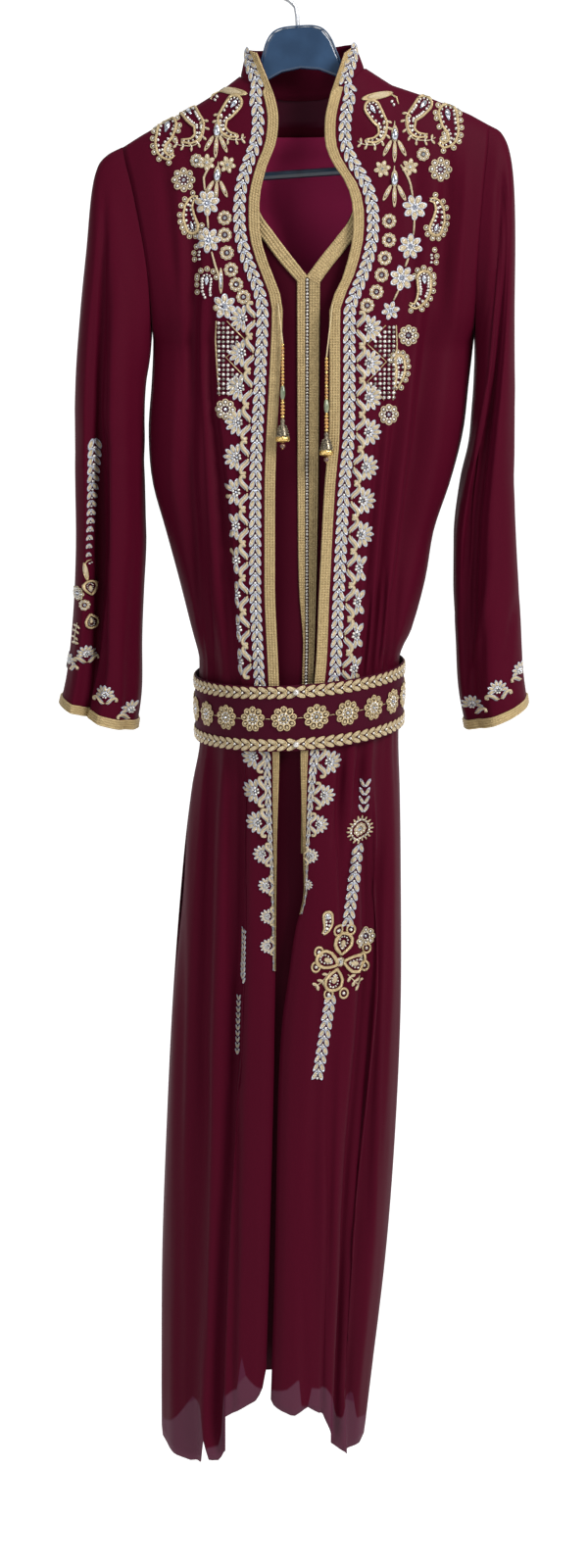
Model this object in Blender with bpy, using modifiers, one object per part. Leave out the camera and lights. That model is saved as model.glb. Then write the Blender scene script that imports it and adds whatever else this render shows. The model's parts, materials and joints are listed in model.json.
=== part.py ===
"""Moroccan kaftan (open over-robe, under-dress and belt) hanging on a coat hanger.

Metres, +Z up, the garment's front faces -Y. The origin is where the hanger's hook hangs.
"Right" and "left" in the names are the wearer's, so the right front lies at -X.
Tables give millimetres, and each row is one height or one fold.
"""

import bmesh
import bpy
import math
from mathutils import Matrix, Vector

MM = 0.001

# Driving sizes
CLOTH_WALL = 1.2 * MM
TRIM_WALL = 1.4 * MM
SEAM_HALF_GAP = 0.15
SEAM_REACH = 0.3 * MM
LAY_GAP = 0.4 * MM
BRAID_WIDTH = 10.5
CHAIN_INSET = 12.5
CHAIN_WIDTH = 14.0
CHAIN_FIRST_ROW = 3
UNDERARM_Z = -360.0
HANGER_TILT = math.radians(3.8)
CREST_DROP = 60.0
UNDER_CREST_INSET = 2.8
UNDER_ARMHOLE_BLEND = 60.0
ROUND_SECTION_TOP = -240.0
ROUND_SECTION_SPAN = 180.0
FOLD_SPACING = 3.0
ROLL_AT_BRAID = 0.35
ROLL_AT_CHAIN = 0.25

RIGHT, LEFT = -1, 1
FRONT, BACK = -1, 1


def lerp(a, b, t):
    return a + (b - a) * t


def smooth_between(table, key, column):
    """Value of a column of a table at a key, with smooth slopes between its rows."""
    rows = table if table[0][0] < table[-1][0] else table[::-1]
    if key <= rows[0][0]:
        return rows[0][column]
    if key >= rows[-1][0]:
        return rows[-1][column]
    index = 0
    while rows[index + 1][0] < key:
        index += 1

    def slope(i):
        low, high = max(i - 1, 0), min(i + 1, len(rows) - 1)
        return (rows[high][column] - rows[low][column]) / (rows[high][0] - rows[low][0])

    (k0, v0), (k1, v1) = ((rows[i][0], rows[i][column]) for i in (index, index + 1))
    span = k1 - k0
    t = (key - k0) / span
    m0, m1 = slope(index) * span, slope(index + 1) * span
    chord = v1 - v0
    m0, m1 = (max(-abs(chord) * 3, min(abs(chord) * 3, m)) if m * chord > 0 else 0.0 for m in (m0, m1))
    return ((2 * t ** 3 - 3 * t ** 2 + 1) * v0 + (t ** 3 - 2 * t ** 2 + t) * m0
            + (3 * t ** 2 - 2 * t ** 3) * v1 + (t ** 3 - t ** 2) * m1)


def straight_between(table, key, column=1):
    """Value of a column of a table at a key, straight between its rows."""
    rows = table if table[0][0] < table[-1][0] else table[::-1]
    if key <= rows[0][0]:
        return rows[0][column]
    for low, high in zip(rows, rows[1:]):
        if key <= high[0]:
            return lerp(low[column], high[column], (key - low[0]) / (high[0] - low[0]))
    return rows[-1][column]


# Body sections: height, right side x, left side x, front depth, back depth
BODY = [
    (-100, -168, 192, 30, 30),
    (-150, -168, 192, 34, 33),
    (-220, -160, 190, 43, 40),
    (-300, -144, 186, 50, 47),
    (-360, -141, 181, 56, 53),
    (-400, -143, 177, 61, 58),
    (-450, -147, 172, 67, 64),
    (-500, -144, 160, 74, 72),
    (-550, -131, 144, 82, 81),
    (-600, -118, 136, 91, 90),
    (-650, -106, 123, 99, 98),
    (-682, -98, 110, 102, 101),
    (-770, -98, 110, 102, 101),
    (-820, -107, 112, 103, 102),
    (-900, -117, 114, 102, 103),
    (-1050, -130, 116, 101, 105),
    (-1200, -139, 112, 101, 107),
    (-1350, -146, 103, 102, 109),
    (-1500, -149, 88, 103, 110),
    (-1600, -150, 78, 103, 110),
]
BODY_RIGHT, BODY_LEFT, BODY_FRONT, BODY_BACK = 1, 2, 3, 4

# How far the under-dress lies inside the robe: height, at the front and back, at the sides
UNDER_INSET = [
    (-100, 2.0, 4.0),
    (-200, 5.0, 8.0),
    (-300, 12.0, 17.0),
    (-400, 16.0, 24.0),
    (-600, 17.0, 17.0),
    (-690, 9.5, 9.5),
    (-760, 9.5, 9.5),
    (-850, 16.0, 17.0),
    (-950, 19.0, 22.0),
    (-1500, 20.0, 24.0),
]

# Crest of the shoulders and neck: x, height
CREST = [
    (-168, -174), (-150, -163), (-125, -149.5), (-95, -134.5), (-67, -118), (-52, -107), (-38, -96),
    (7, -88), (55, -90), (69, -99), (96, -115.5), (135, -128), (173, -143), (192, -153),
]

# Top edge of the robe's panels, along the shoulder and the neck seam: x, height
FRONT_TOP = [
    (-168, -174), (-150, -163), (-125, -149.5), (-95, -134.5), (-67, -118), (-52, -107),
    (-35, -121), (-17, -132), (34, -132), (52, -116), (69, -99),
    (96, -115.5), (135, -128), (173, -143), (192, -153),
]
BACK_TOP = [
    (-168, -174), (-150, -163), (-125, -149.5), (-95, -134.5), (-67, -118), (-52, -107),
    (-40, -116), (-25, -121.5), (-8, -124), (7, -124.5), (25, -123.5), (42, -119.5), (57, -111), (69, -99),
    (96, -115.5), (135, -128), (173, -143), (192, -153),
]

# Armholes: half depth of the lens, shoulder point and underarm point (x, z), inward bow
ARMHOLE_DEPTH = 24.0
ARMHOLE = {
    RIGHT: {"top": (-168, -174), "bottom": (-141, -360), "bow": 7.0},
    LEFT: {"top": (192, -153), "bottom": (181, -360), "bow": -4.0},
}

# Front opening of the robe: height, right front's edge x, left front's edge x
OPENING = [
    (-87, -35.0, 49.0), (-104, -27.6, 42.5), (-118, -22.0, 38.0), (-132, -17.3, 34.0),
    (-148, -14.6, 30.5), (-163, -15.5, 30.0), (-176, -18.4, 31.6), (-191, -25.0, 38.2),
    (-204, -28.8, 47.7), (-218, -32.2, 54.4), (-235, -33.2, 57.8), (-254, -32.8, 58.0),
    (-272, -29.1, 55.5), (-288, -23.5, 51.0), (-304, -16.9, 45.5), (-318, -12.0, 38.0),
    (-332, -10.6, 35.0), (-400, -13.6, 35.2), (-450, -16.3, 34.8), (-500, -18.1, 30.5),
    (-600, -18.3, 25.2), (-690, -14.5, 20.5), (-760, -14.0, 7.0), (-850, -17.0, 9.5),
    (-910, -18.2, 11.0), (-950, -18.8, 2.0), (-1000, -19.6, -5.0), (-1050, -20.4, -12.0),
    (-1120, -21.5, -16.0), (-1350, -27.0, -20.5), (-1500, -31.0, -25.0),
]

# Heights that the fold tables give a value for
FOLD_HEIGHTS = [-150, -220, -300, -400, -500, -600, -690, -760, -850, -950, -1050, -1200, -1350, -1500]

# Robe's right front, from the trim to the side: kind, x at each height, depth at each height
RIGHT_FOLDS = [
    ("panel ridge",
     [-48, -64, -74, -75, -64, -56, -51, -50, -51, -52, -57, -63, -70, -75],
     [0, 0, 0, 0, 0, 0, 0, 0, 0, 0, 0, 0, 0, 0]),
    ("panel valley",
     [-58, -73, -81, -82, -71, -62, -56, -55, -57, -59, -65, -70, -77, -82],
     [0, 0, 1, 6, 10, 11, 5, 5, 9, 12, 14, 14, 14, 14]),
    ("side ridge",
     [-82, -88, -90, -91, -88, -80, -69, -69, -75, -79, -83, -88, -94, -99],
     [0, 0, 0, 0, 0, 0, 0, 0, 0, 0, 0, 0, 0, 0]),
    ("side valley",
     [-102, -102, -99, -102, -106, -96, -82, -82, -89, -94, -99, -105, -111, -115],
     [0, 1, 5, 8, 8, 7, 4, 4, 8, 10, 11, 11, 11, 11]),
    ("outer ridge",
     [-132, -124, -117, -119, -123, -106, -90, -90, -99, -108, -116, -124, -130, -133],
     [0, 0, 0, 0, 0, 0, 0, 0, 0, 0, 0, 0, 0, 0]),
]

# Robe's left front, from the trim to the side
LEFT_FOLDS = [
    ("panel ridge",
     [64, 88, 88, 82, 75, 69, 62, 40, 42, 44, 34, 30, 28, 27],
     [0, 0, 0, 0, 0, 0, 0, 0, 0, 0, 0, 0, 0, 0]),
    ("panel valley",
     [76, 98, 97, 89, 81, 74, 68, 49, 49, 51, 43, 38, 35, 33],
     [0, 0, 0, 2, 4, 6, 4, 4, 7, 5, 3, 3, 4, 5]),
    ("middle ridge",
     [92, 110, 106, 97, 88, 81, 75, 60, 62, 68, 62, 50, 45, 42],
     [0, 0, 0, 0, 0, 0, 0, 0, 0, 0, 0, 0, 0, 0]),
    ("middle valley",
     [108, 121, 115, 105, 95, 88, 81, 70, 76, 81, 77, 63, 55, 51],
     [0, 0, 1, 4, 8, 9, 5, 5, 9, 12, 13, 13, 12, 11]),
    ("side ridge",
     [128, 136, 127, 117, 107, 97, 88, 81, 85, 88, 86, 74, 64, 58],
     [0, 0, 0, 0, 0, 0, 0, 0, 0, 0, 0, 0, 0, 0]),
    ("side valley",
     [147, 151, 141, 130, 119, 107, 95, 91, 94, 96, 94, 84, 73, 66],
     [0, 3, 7, 10, 12, 9, 4, 4, 8, 9, 10, 10, 9, 8]),
    ("outer ridge",
     [168, 169, 162, 153, 141, 121, 102, 101, 105, 106, 105, 97, 86, 74],
     [0, 0, 0, 0, 0, 0, 0, 0, 0, 0, 0, 0, 0, 0]),
]

# How far the front edges roll inward, at each fold height
EDGE_ROLL = [0, 0, 0, 0, 0, 0, 0, 0, 2, 6, 9, 10, 10, 10]

# Robe's back, from the right side to the left: kind, turn round the section in degrees, depths
BACK_FOLDS = [
    ("right ridge", -72, [0, 0, 0, 0, 0, 0, 0, 0, 0, 0, 0, 0, 0, 0]),
    ("right valley", -55, [0, 2, 5, 8, 9, 8, 4, 4, 9, 11, 12, 12, 12, 12]),
    ("right middle ridge", -38, [0, 0, 0, 0, 0, 0, 0, 0, 0, 0, 0, 0, 0, 0]),
    ("right middle valley", -22, [0, 0, 2, 5, 7, 7, 4, 4, 8, 11, 13, 13, 13, 13]),
    ("centre ridge", -4, [0, 0, 0, 0, 0, 0, 0, 0, 0, 0, 0, 0, 0, 0]),
    ("left middle valley", 16, [0, 1, 3, 6, 8, 8, 4, 4, 7, 9, 10, 11, 11, 11]),
    ("left middle ridge", 33, [0, 0, 0, 0, 0, 0, 0, 0, 0, 0, 0, 0, 0, 0]),
    ("left valley", 53, [0, 2, 6, 9, 10, 8, 4, 4, 9, 12, 12, 11, 10, 9]),
    ("left ridge", 72, [0, 0, 0, 0, 0, 0, 0, 0, 0, 0, 0, 0, 0, 0]),
]

# Hem of the robe: x, height at the front, height at the back
HEM = [
    (-150, -1566, -1566), (-120, -1573, -1570), (-97, -1553, -1572), (-86, -1564, -1573),
    (-74, -1534, -1573), (-55, -1511, -1572), (-36, -1499, -1572), (-30, -1460, -1571),
    (-22, -1478, -1571), (0, -1524, -1570), (18, -1515, -1568), (42, -1529, -1566),
    (54, -1553, -1565), (66, -1570, -1564), (78, -1562, -1562),
]

# Rows of the body's grid: the steps over the shoulder, then level heights, then steps to the hem
SHOULDER_STEPS = [0.0, 0.006, 0.025, 0.07, 0.15, 0.27, 0.42, 0.60, 0.80]
LEVELS = [-360, -420, -480, -540, -600, -650, -688, -725, -762, -805, -860, -920, -980, -1050]
HEM_STEPS = [0.2, 0.42, 0.64, 0.84, 1.0]


def fold_value(values, z):
    """Value of a fold's list at a height."""
    return smooth_between(list(zip(FOLD_HEIGHTS, values)), z, 1)


def armhole_x(side, z):
    """X of the armhole seam at a height between the shoulder and the underarm."""
    hole = ARMHOLE[side]
    (top_x, top_z), (bottom_x, bottom_z) = hole["top"], hole["bottom"]
    t = max(0.0, min(1.0, (top_z - z) / (top_z - bottom_z)))
    return lerp(top_x, bottom_x, t) + hole["bow"] * 4 * t * (1 - t)


def armhole_depth(side, z):
    """Half depth of the lens-shaped armhole at a height."""
    top_z, bottom_z = ARMHOLE[side]["top"][1], ARMHOLE[side]["bottom"][1]
    middle, half = (top_z + bottom_z) / 2, (top_z - bottom_z) / 2
    return ARMHOLE_DEPTH * math.sqrt(max(0.0, 1 - ((z - middle) / half) ** 2))


def body_edge(side, z, inset=0.0):
    """X of the side of the body at a height: the armhole seam, then the side seam."""
    if z > UNDERARM_Z:
        return armhole_x(side, z) - side * inset
    return smooth_between(BODY, z, BODY_RIGHT if side == RIGHT else BODY_LEFT) - side * inset


def body_centre(z):
    return (body_edge(RIGHT, z) + body_edge(LEFT, z)) / 2


def body_point(x, z, face, under=0.0):
    """A point of the plain body section at x and z, without folds; under is 1 on the under-dress."""
    front_inset = under * smooth_between(UNDER_INSET, z, 1)
    below_armhole = max(0.0, min(1.0, (UNDERARM_Z - z) / UNDER_ARMHOLE_BLEND))
    side_inset = under * below_armhole * smooth_between(UNDER_INSET, z, 2)
    centre = body_centre(z)
    side = RIGHT if x < centre else LEFT
    edge = body_edge(side, z, side_inset)
    share = max(-1.0, min(1.0, (x - centre) / (edge - centre)))
    full = smooth_between(BODY, z, BODY_FRONT if face == FRONT else BODY_BACK)
    full -= front_inset * below_armhole
    crest = straight_between(CREST, x) - under * UNDER_CREST_INSET
    lift = max(0.0, min(1.0, (crest - z) / CREST_DROP))
    full *= math.sqrt(1 - (1 - lift) ** 2)
    hole_top, hole_bottom = ARMHOLE[side]["top"][1], ARMHOLE[side]["bottom"][1]
    down = max(0.0, min(1.0, (crest - z) / (crest - hole_bottom)))
    lens = min(armhole_depth(side, lerp(hole_top, hole_bottom, down)), full)
    round_share = max(0.0, min(1.0, (ROUND_SECTION_TOP - z) / ROUND_SECTION_SPAN))
    round_power = lerp(1.0, 0.5, round_share)
    depth = lens + (full - lens) * (1 - share ** 2) ** round_power
    depth = max(0.0, depth - front_inset * (1 - below_armhole) * min(1.0, 5 * lift))
    return Vector((x, face * (depth + SEAM_HALF_GAP), z))


def inward(x, z, face, under=0.0):
    """Level direction into the body at a point of the plain section."""
    step = 1.0
    centre = body_centre(z)
    low, high = body_edge(RIGHT, z) + 1, body_edge(LEFT, z) - 1
    a = body_point(max(x - step, low), z, face, under)
    b = body_point(min(x + step, high), z, face, under)
    along = b - a
    normal = Vector((-along.y, along.x, 0)).normalized()
    towards = Vector((centre, 0, z)) - body_point(x, z, face, under)
    return normal if normal.dot(towards) > 0 else -normal


def spread(lines, pieces):
    """Columns of a panel: each line, and points between neighbours with a soft rise and fall."""
    columns = []
    for (x0, d0), (x1, d1), count in zip(lines, lines[1:], pieces):
        for i in range(count):
            t = i / count
            columns.append((lerp(x0, x1, t), lerp(d0, d1, (1 - math.cos(math.pi * t)) / 2)))
    columns.append(lines[-1])
    return columns


def front_columns(side, z):
    """X and fold depth of the robe's front panel columns at a height, from the opening to the side."""
    edge = smooth_between(OPENING, z, 1 if side == RIGHT else 2)
    roll = fold_value(EDGE_ROLL, z)
    folds = RIGHT_FOLDS if side == RIGHT else LEFT_FOLDS
    lines = [(edge, roll)]
    lines.append((edge + side * BRAID_WIDTH, roll * ROLL_AT_BRAID))
    lines.append((edge + side * CHAIN_INSET, roll * ROLL_AT_CHAIN))
    lines.append((edge + side * (CHAIN_INSET + CHAIN_WIDTH), 0.0))
    for _, places, depths in folds:
        lines.append((fold_value(places, z), fold_value(depths, z)))
    lines.append((body_edge(side, z), 0.0))
    for i in range(4, len(lines)):
        least = lines[i - 1][0] + side * FOLD_SPACING
        if (lines[i][0] - least) * side < 0:
            lines[i] = (least, lines[i][1])
    last = body_edge(side, z)
    for i in range(len(lines) - 2, 3, -1):
        most = last - side * FOLD_SPACING * (len(lines) - 1 - i)
        if (lines[i][0] - most) * side > 0:
            lines[i] = (most, lines[i][1])
    pieces = [1, 1, 1] + [2] * (len(lines) - 4)
    return spread(lines, pieces)


def back_columns(z):
    """X and fold depth of the robe's back panel columns at a height."""
    centre = body_centre(z)
    lines = [(body_edge(RIGHT, z), 0.0)]
    for _, turn, depths in BACK_FOLDS:
        side = RIGHT if turn < 0 else LEFT
        reach = abs(math.sin(math.radians(turn)))
        lines.append((lerp(centre, body_edge(side, z), reach), fold_value(depths, z)))
    lines.append((body_edge(LEFT, z), 0.0))
    return spread(lines, [2] * (len(lines) - 1))


def panel_grid(columns_at, top_table, hem_column, face):
    """Rows of points of a robe panel, from the shoulder seam to the hem."""
    count = len(columns_at(-150))
    grid = []
    tops = []
    for index in range(count):
        z = -150.0
        for _ in range(12):
            z = straight_between(top_table, columns_at(z)[index][0])
        tops.append(z)
    for step in SHOULDER_STEPS:
        grid.append([lerp(top, UNDERARM_Z, step) for top in tops])
    grid += [[level] * count for level in LEVELS]
    hem = [straight_between(HEM, columns_at(-1540)[index][0], hem_column) for index in range(count)]
    for step in HEM_STEPS:
        grid.append([lerp(LEVELS[-1], z, step) for z in hem])
    return [[panel_point(columns_at, index, z, face) for index, z in enumerate(row)] for row in grid]


def panel_point(columns_at, index, z, face):
    x, depth = columns_at(z)[index]
    point = body_point(x, z, face)
    if depth:
        point += inward(x, z, face) * depth
    return point * MM


def grid_normals(grid, closed=False):
    """Outward normals at the points of a grid whose columns run to the right seen from outside."""
    rows, columns = len(grid), len(grid[0])
    normals = []
    for r in range(rows):
        line = []
        for c in range(columns):
            if closed:
                left, right = grid[r][c - 1], grid[r][(c + 1) % columns]
            else:
                left, right = grid[r][max(c - 1, 0)], grid[r][min(c + 1, columns - 1)]
            up, down = grid[max(r - 1, 0)][c], grid[min(r + 1, rows - 1)][c]
            line.append((right - left).cross(up - down).normalized())
        normals.append(line)
    return normals


def pushed(grid, distance, closed=False, flip=False):
    """The grid moved out along its normals."""
    sign = -1 if flip else 1
    normals = grid_normals(grid, closed)
    return [[p + n * distance * sign for p, n in zip(row, line)] for row, line in zip(grid, normals)]


def material(name, colour, roughness, metallic=0.0):
    made = bpy.data.materials.new(name)
    made.use_nodes = True
    shader = made.node_tree.nodes["Principled BSDF"]
    shader.inputs["Base Color"].default_value = (*colour, 1)
    shader.inputs["Roughness"].default_value = roughness
    shader.inputs["Metallic"].default_value = metallic
    return made


def keep(obj, collection, finish):
    """Put an object in the kaftan's collection with its material."""
    for owner in list(obj.users_collection):
        owner.objects.unlink(obj)
    collection.objects.link(obj)
    obj.data.materials.clear()
    obj.data.materials.append(finish)
    return obj


def sheet(name, grid, wall, collection, finish, flip=False, closed=False, outward=False):
    """A cloth wall on a grid of points: outer face, inner face and the rims between them.

    Where a panel ends at a seam in the plane Y = 0, its wall stays on its own side of that plane.
    """
    rows, columns = len(grid), len(grid[0])
    sign = -1 if flip else 1
    normals = grid_normals(grid, closed)
    moved = []
    for row, line in zip(grid, normals):
        for point, normal in zip(row, line):
            if abs(point.y) < SEAM_REACH:
                normal = Vector((normal.x, 0, normal.z)).normalized()
            moved.append(point + normal * sign * (wall if outward else -wall))
    plain = [point for row in grid for point in row]
    outer, inner = (moved, plain) if outward else (plain, moved)
    count = rows * columns
    faces = []
    last = columns if closed else columns - 1
    for r in range(rows - 1):
        for c in range(last):
            a, b = r * columns + c, r * columns + (c + 1) % columns
            for face in ((a, a + columns, b + columns), (a, b + columns, b)):
                faces.append(face)
                faces.append(tuple(count + i for i in reversed(face)))
    rims = [(r * columns + c, r * columns + (c + 1) % columns, step)
            for r, step in ((0, 1), (rows - 1, -1)) for c in range(last)]
    if not closed:
        rims += [(r * columns + c, (r + 1) * columns + c, step)
                 for c, step in ((0, -1), (columns - 1, 1)) for r in range(rows - 1)]
    for a, b, step in rims:
        a, b = (a, b) if step > 0 else (b, a)
        faces.append((a, b, count + b))
        faces.append((a, count + b, count + a))
    if flip:
        faces = [face[::-1] for face in faces]
    mesh = bpy.data.meshes.new(name)
    mesh.from_pydata(outer + inner, [], faces)
    mesh.validate()
    obj = keep(bpy.data.objects.new(name, mesh), collection, finish)
    mesh.shade_smooth()
    return obj


def strip_of(grid, first, last, rows):
    """The columns first to last of some rows of a panel's grid."""
    return [row[first:last + 1] for row in grid[rows[0]:rows[1]]]


# Collar: point along the neck, foot x, top x y z, from the right front round the back
COLLAR = [
    (0, -17.3, -35.0, -17.0, -87),
    (1, -35.0, -43.0, -9.0, -84),
    (2, -51.5, -46.0, 3.0, -82),
    (3, -43.0, -38.0, 17.0, -82),
    (4, -22.0, -18.0, 24.0, -81),
    (5, 7.0, 7.0, 26.0, -80),
    (6, 38.0, 33.0, 23.0, -79),
    (7, 60.0, 52.0, 15.0, -77),
    (8, 68.5, 60.0, 3.0, -77),
    (9, 52.0, 58.0, -8.0, -80),
    (10, 34.0, 49.0, -17.0, -87),
]
COLLAR_ROWS = 4
COLLAR_COLUMNS = 20
COLLAR_BACK = (2, 8)
COLLAR_LIFT = 1.7


def collar_grid():
    """Stand collar from its top edge to its foot on the neck seam, round the neck."""
    grid = []
    for r in range(COLLAR_ROWS):
        drop = r / (COLLAR_ROWS - 1)
        row = []
        for c in range(COLLAR_COLUMNS + 1):
            place = c * 10 / COLLAR_COLUMNS
            foot_x = smooth_between(COLLAR, place, 1)
            behind = COLLAR_BACK[0] <= place <= COLLAR_BACK[1]
            table, face = (BACK_TOP, BACK) if behind else (FRONT_TOP, FRONT)
            foot = body_point(foot_x, straight_between(table, foot_x), face)
            foot.z += COLLAR_LIFT
            top = Vector([smooth_between(COLLAR, place, k) for k in (2, 3, 4)])
            row.append(top.lerp(foot, drop) * MM)
        grid.append(row)
    return grid


# Sleeves: share of the way down, outer line x z, inner line x z, half depth
RIGHT_SLEEVE = [
    (0.00, -169.2, -174, -142.2, -360, 24),
    (0.05, -183, -181, -143.5, -372, 27),
    (0.10, -193, -192, -145.5, -384, 30),
    (0.17, -200, -218, -148.5, -400, 33),
    (0.26, -206, -270, -151.0, -425, 36),
    (0.37, -214, -335, -151.5, -460, 39),
    (0.49, -220, -410, -151.5, -505, 41),
    (0.61, -222, -495, -151.0, -560, 42),
    (0.73, -223, -570, -154.0, -612, 43),
    (0.84, -228, -640, -157.0, -665, 45),
    (0.93, -235, -693, -158.5, -715, 47),
    (1.00, -243, -730, -164.0, -757, 49),
]
LEFT_SLEEVE = [
    (0.00, 192.45, -153, 181.45, -360, 24),
    (0.05, 204, -160, 182.0, -372, 27),
    (0.10, 212, -175, 182.0, -384, 30),
    (0.17, 217, -205, 181.5, -400, 33),
    (0.26, 220, -262, 180.5, -425, 36),
    (0.37, 221.5, -330, 178.0, -460, 39),
    (0.49, 223.5, -408, 169.0, -505, 41),
    (0.61, 224.5, -495, 163.5, -555, 42),
    (0.73, 229, -570, 163.5, -612, 43),
    (0.84, 234.5, -640, 167.5, -665, 45),
    (0.93, 238.5, -693, 171.5, -715, 47),
    (1.00, 244, -730, 180.0, -757, 49),
]

# Folds of the sleeves: share of the way down, turn of the main valley, its depth, second valley's depth
RIGHT_SLEEVE_FOLD = [
    (0.00, 66, 0, 0), (0.17, 66, 3, 1), (0.30, 66, 12, 3), (0.50, 67, 20, 5),
    (0.75, 68, 24, 7), (1.00, 70, 22, 6),
]
LEFT_SLEEVE_FOLD = [
    (0.00, 60, 0, 0), (0.17, 62, 4, 2), (0.30, 78, 10, 4), (0.50, 104, 15, 6),
    (0.75, 128, 15, 7), (1.00, 140, 6, 5),
]
# Columns round a sleeve: turn when the main valley lies at 90, share of the main and second valley
SLEEVE_TURNS = [
    (0, 0.0, 0.0), (22, 0.0, 0.0), (44, 0.0, 0.0), (64, 0.0, 0.0), (74, 0.45, 0.0), (86, 1.0, 0.0),
    (98, 0.6, 0.0), (116, 0.0, 0.0), (136, 0.0, 0.0), (158, 0.0, 0.5), (178, 0.0, 0.0),
    (202, 0.0, 0.0), (226, 0.0, 0.0), (246, 0.0, 0.6), (262, 0.0, 1.0), (278, 0.0, 0.5),
    (298, 0.0, 0.0), (320, 0.0, 0.0), (342, 0.0, 0.0),
]
SLEEVE_SHARES = [0.0, 0.02, 0.05, 0.09, 0.14, 0.20, 0.27, 0.35, 0.44, 0.53, 0.62, 0.71, 0.80, 0.89, 0.95,
                 0.985, 1.0]
HEAD_SHARE = 0.12


def sleeve_grid(side):
    """Rings of a sleeve from the armhole to the cuff, columns round it from the outer line."""
    table, folds = (RIGHT_SLEEVE, RIGHT_SLEEVE_FOLD) if side == RIGHT else (LEFT_SLEEVE, LEFT_SLEEVE_FOLD)
    bow = ARMHOLE[side]["bow"]
    grid = []
    for share in SLEEVE_SHARES:
        outer = Vector((smooth_between(table, share, 1), 0, smooth_between(table, share, 2)))
        inner = Vector((smooth_between(table, share, 3), 0, smooth_between(table, share, 4)))
        half_depth = smooth_between(table, share, 5)
        valley_turn = smooth_between(folds, share, 1)
        main, second = smooth_between(folds, share, 2), smooth_between(folds, share, 3)
        centre, arm = (outer + inner) / 2, (outer - inner) / 2
        row = []
        for base_turn, main_share, second_share in SLEEVE_TURNS:
            if base_turn <= 90:
                turn = base_turn * valley_turn / 90
            else:
                turn = valley_turn + (base_turn - 90) * (360 - valley_turn) / 270
            angle = math.radians(turn)
            point = centre + arm * math.cos(angle) + Vector((0, -half_depth * math.sin(angle), 0))
            fade = max(0.0, 1 - share / HEAD_SHARE)
            point.x += bow * math.sin(angle) ** 2 * fade
            into = centre - point
            depth = main * main_share + second * second_share
            point += into.normalized() * min(depth, into.length * 0.62)
            row.append(point * MM)
        grid.append(row)
    if side == LEFT:
        grid = [[row[-i] for i in range(len(row))] for row in grid]
    return grid


# Under-dress tops: x, height at the front, height at the back
UNDER_TOP = [
    (-142, -100, -100), (-80, -105, -105), (-70, -133, -135), (-50, -196, -162), (-33, -237, -163),
    (11.5, -297, -163), (52, -248, -162), (71, -205, -160), (94, -124.5, -126), (102, -105, -105),
    (168, -100, -100),
]
UNDER_HEM = -1500.0
UNDER_TURNS = [-90, -72, -58, -47, -36, -25, -12, 0, 12, 25, 36, 47, 58, 72, 90]
UNDER_FOLDS = [
    # turn, depth at the chest, depth at the skirt
    (-90, 0, 0), (-58, 0, 0), (-47, 2, 7), (-36, 0, 0), (25, 0, 0), (36, 2, 6), (47, 0, 0), (58, 2, 7),
    (72, 0, 0), (90, 0, 0),
]
UNDER_LEVELS = [-330, -400, -470, -540, -600, -650, -688, -725, -762, -810, -870, -960, -1100, -1240, -1380]
UNDER_STEPS = [0.0, 0.006, 0.025, 0.07, 0.16, 0.30, 0.50, 0.74]
UNDER_ARMHOLE_INSET = 40.0
UNDER_MIDDLE_X = 11.5
UNDER_MIDDLE_SHARE = 0.6
UNDER_SKIRT_TOP = -760.0
UNDER_SKIRT_SPAN = 300.0
UNDER_FOLDS_TOP = -250.0


def under_x(turn, z):
    side = RIGHT if turn < 0 else LEFT
    reach = abs(math.sin(math.radians(turn)))
    inset = smooth_between(UNDER_INSET, z, 2)
    if z > UNDERARM_Z:
        inset += (UNDER_ARMHOLE_INSET - inset) * min(1.0, (z - UNDERARM_Z) / UNDER_ARMHOLE_BLEND)
    middle = lerp(UNDER_MIDDLE_X, body_centre(z), UNDER_MIDDLE_SHARE)
    return lerp(middle, body_edge(side, z, inset), reach)


def under_point(turn, z, face):
    x = under_x(turn, z)
    point = body_point(x, z, face, 1.0)
    skirt = max(0.0, min(1.0, (UNDER_SKIRT_TOP - z) / UNDER_SKIRT_SPAN))
    depth = lerp(straight_between(UNDER_FOLDS, turn, 1), straight_between(UNDER_FOLDS, turn, 2), skirt)
    if depth and z < UNDER_FOLDS_TOP:
        point += inward(x, z, face, 1.0) * depth
    return point * MM


def under_grid(face):
    """Rows of points of the under-dress, from its neck and shoulders to its hem."""
    column = 1 if face == FRONT else 2
    tops = []
    for turn in UNDER_TURNS:
        z = -150.0
        for _ in range(20):
            x = under_x(turn, z)
            crest = straight_between(CREST, x) - UNDER_CREST_INSET
            z = lerp(z, min(crest, straight_between(UNDER_TOP, x, column)), 0.6)
        tops.append(z)
    heights = [[lerp(top, UNDER_LEVELS[0], step) for top in tops] for step in UNDER_STEPS]
    heights += [[level] * len(tops) for level in UNDER_LEVELS + [UNDER_HEM]]
    return [[under_point(turn, z, face) for turn, z in zip(UNDER_TURNS, row)] for row in heights]


# Centre front of the under-dress: height, centre x, outer edge of the right braid, of the left braid
UNDER_CENTRE = [
    (-297, 13.0, -9.7, 13.0), (-500, 13.0, -9.0, 12.0), (-600, 13.0, -7.5, 10.0), (-650, 13.0, -3.5, 8.5),
    (-700, 12.0, -3.5, 7.5), (-900, 11.0, -3.5, 7.0),
]
UNDER_BRAID_START = [1.5, 2.2]
CRYSTAL_MIDDLE = 0.3
CRYSTAL_HALF_WIDTH = 1.1
CRYSTAL_WALL = 2.0 * MM
UNDER_TRIM_LEVELS = [-304, -330, -400, -470, -540, -600, -650, -688, -725, -762, -810, -870]
UNDER_TRIM_GAP = 0.7
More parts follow.
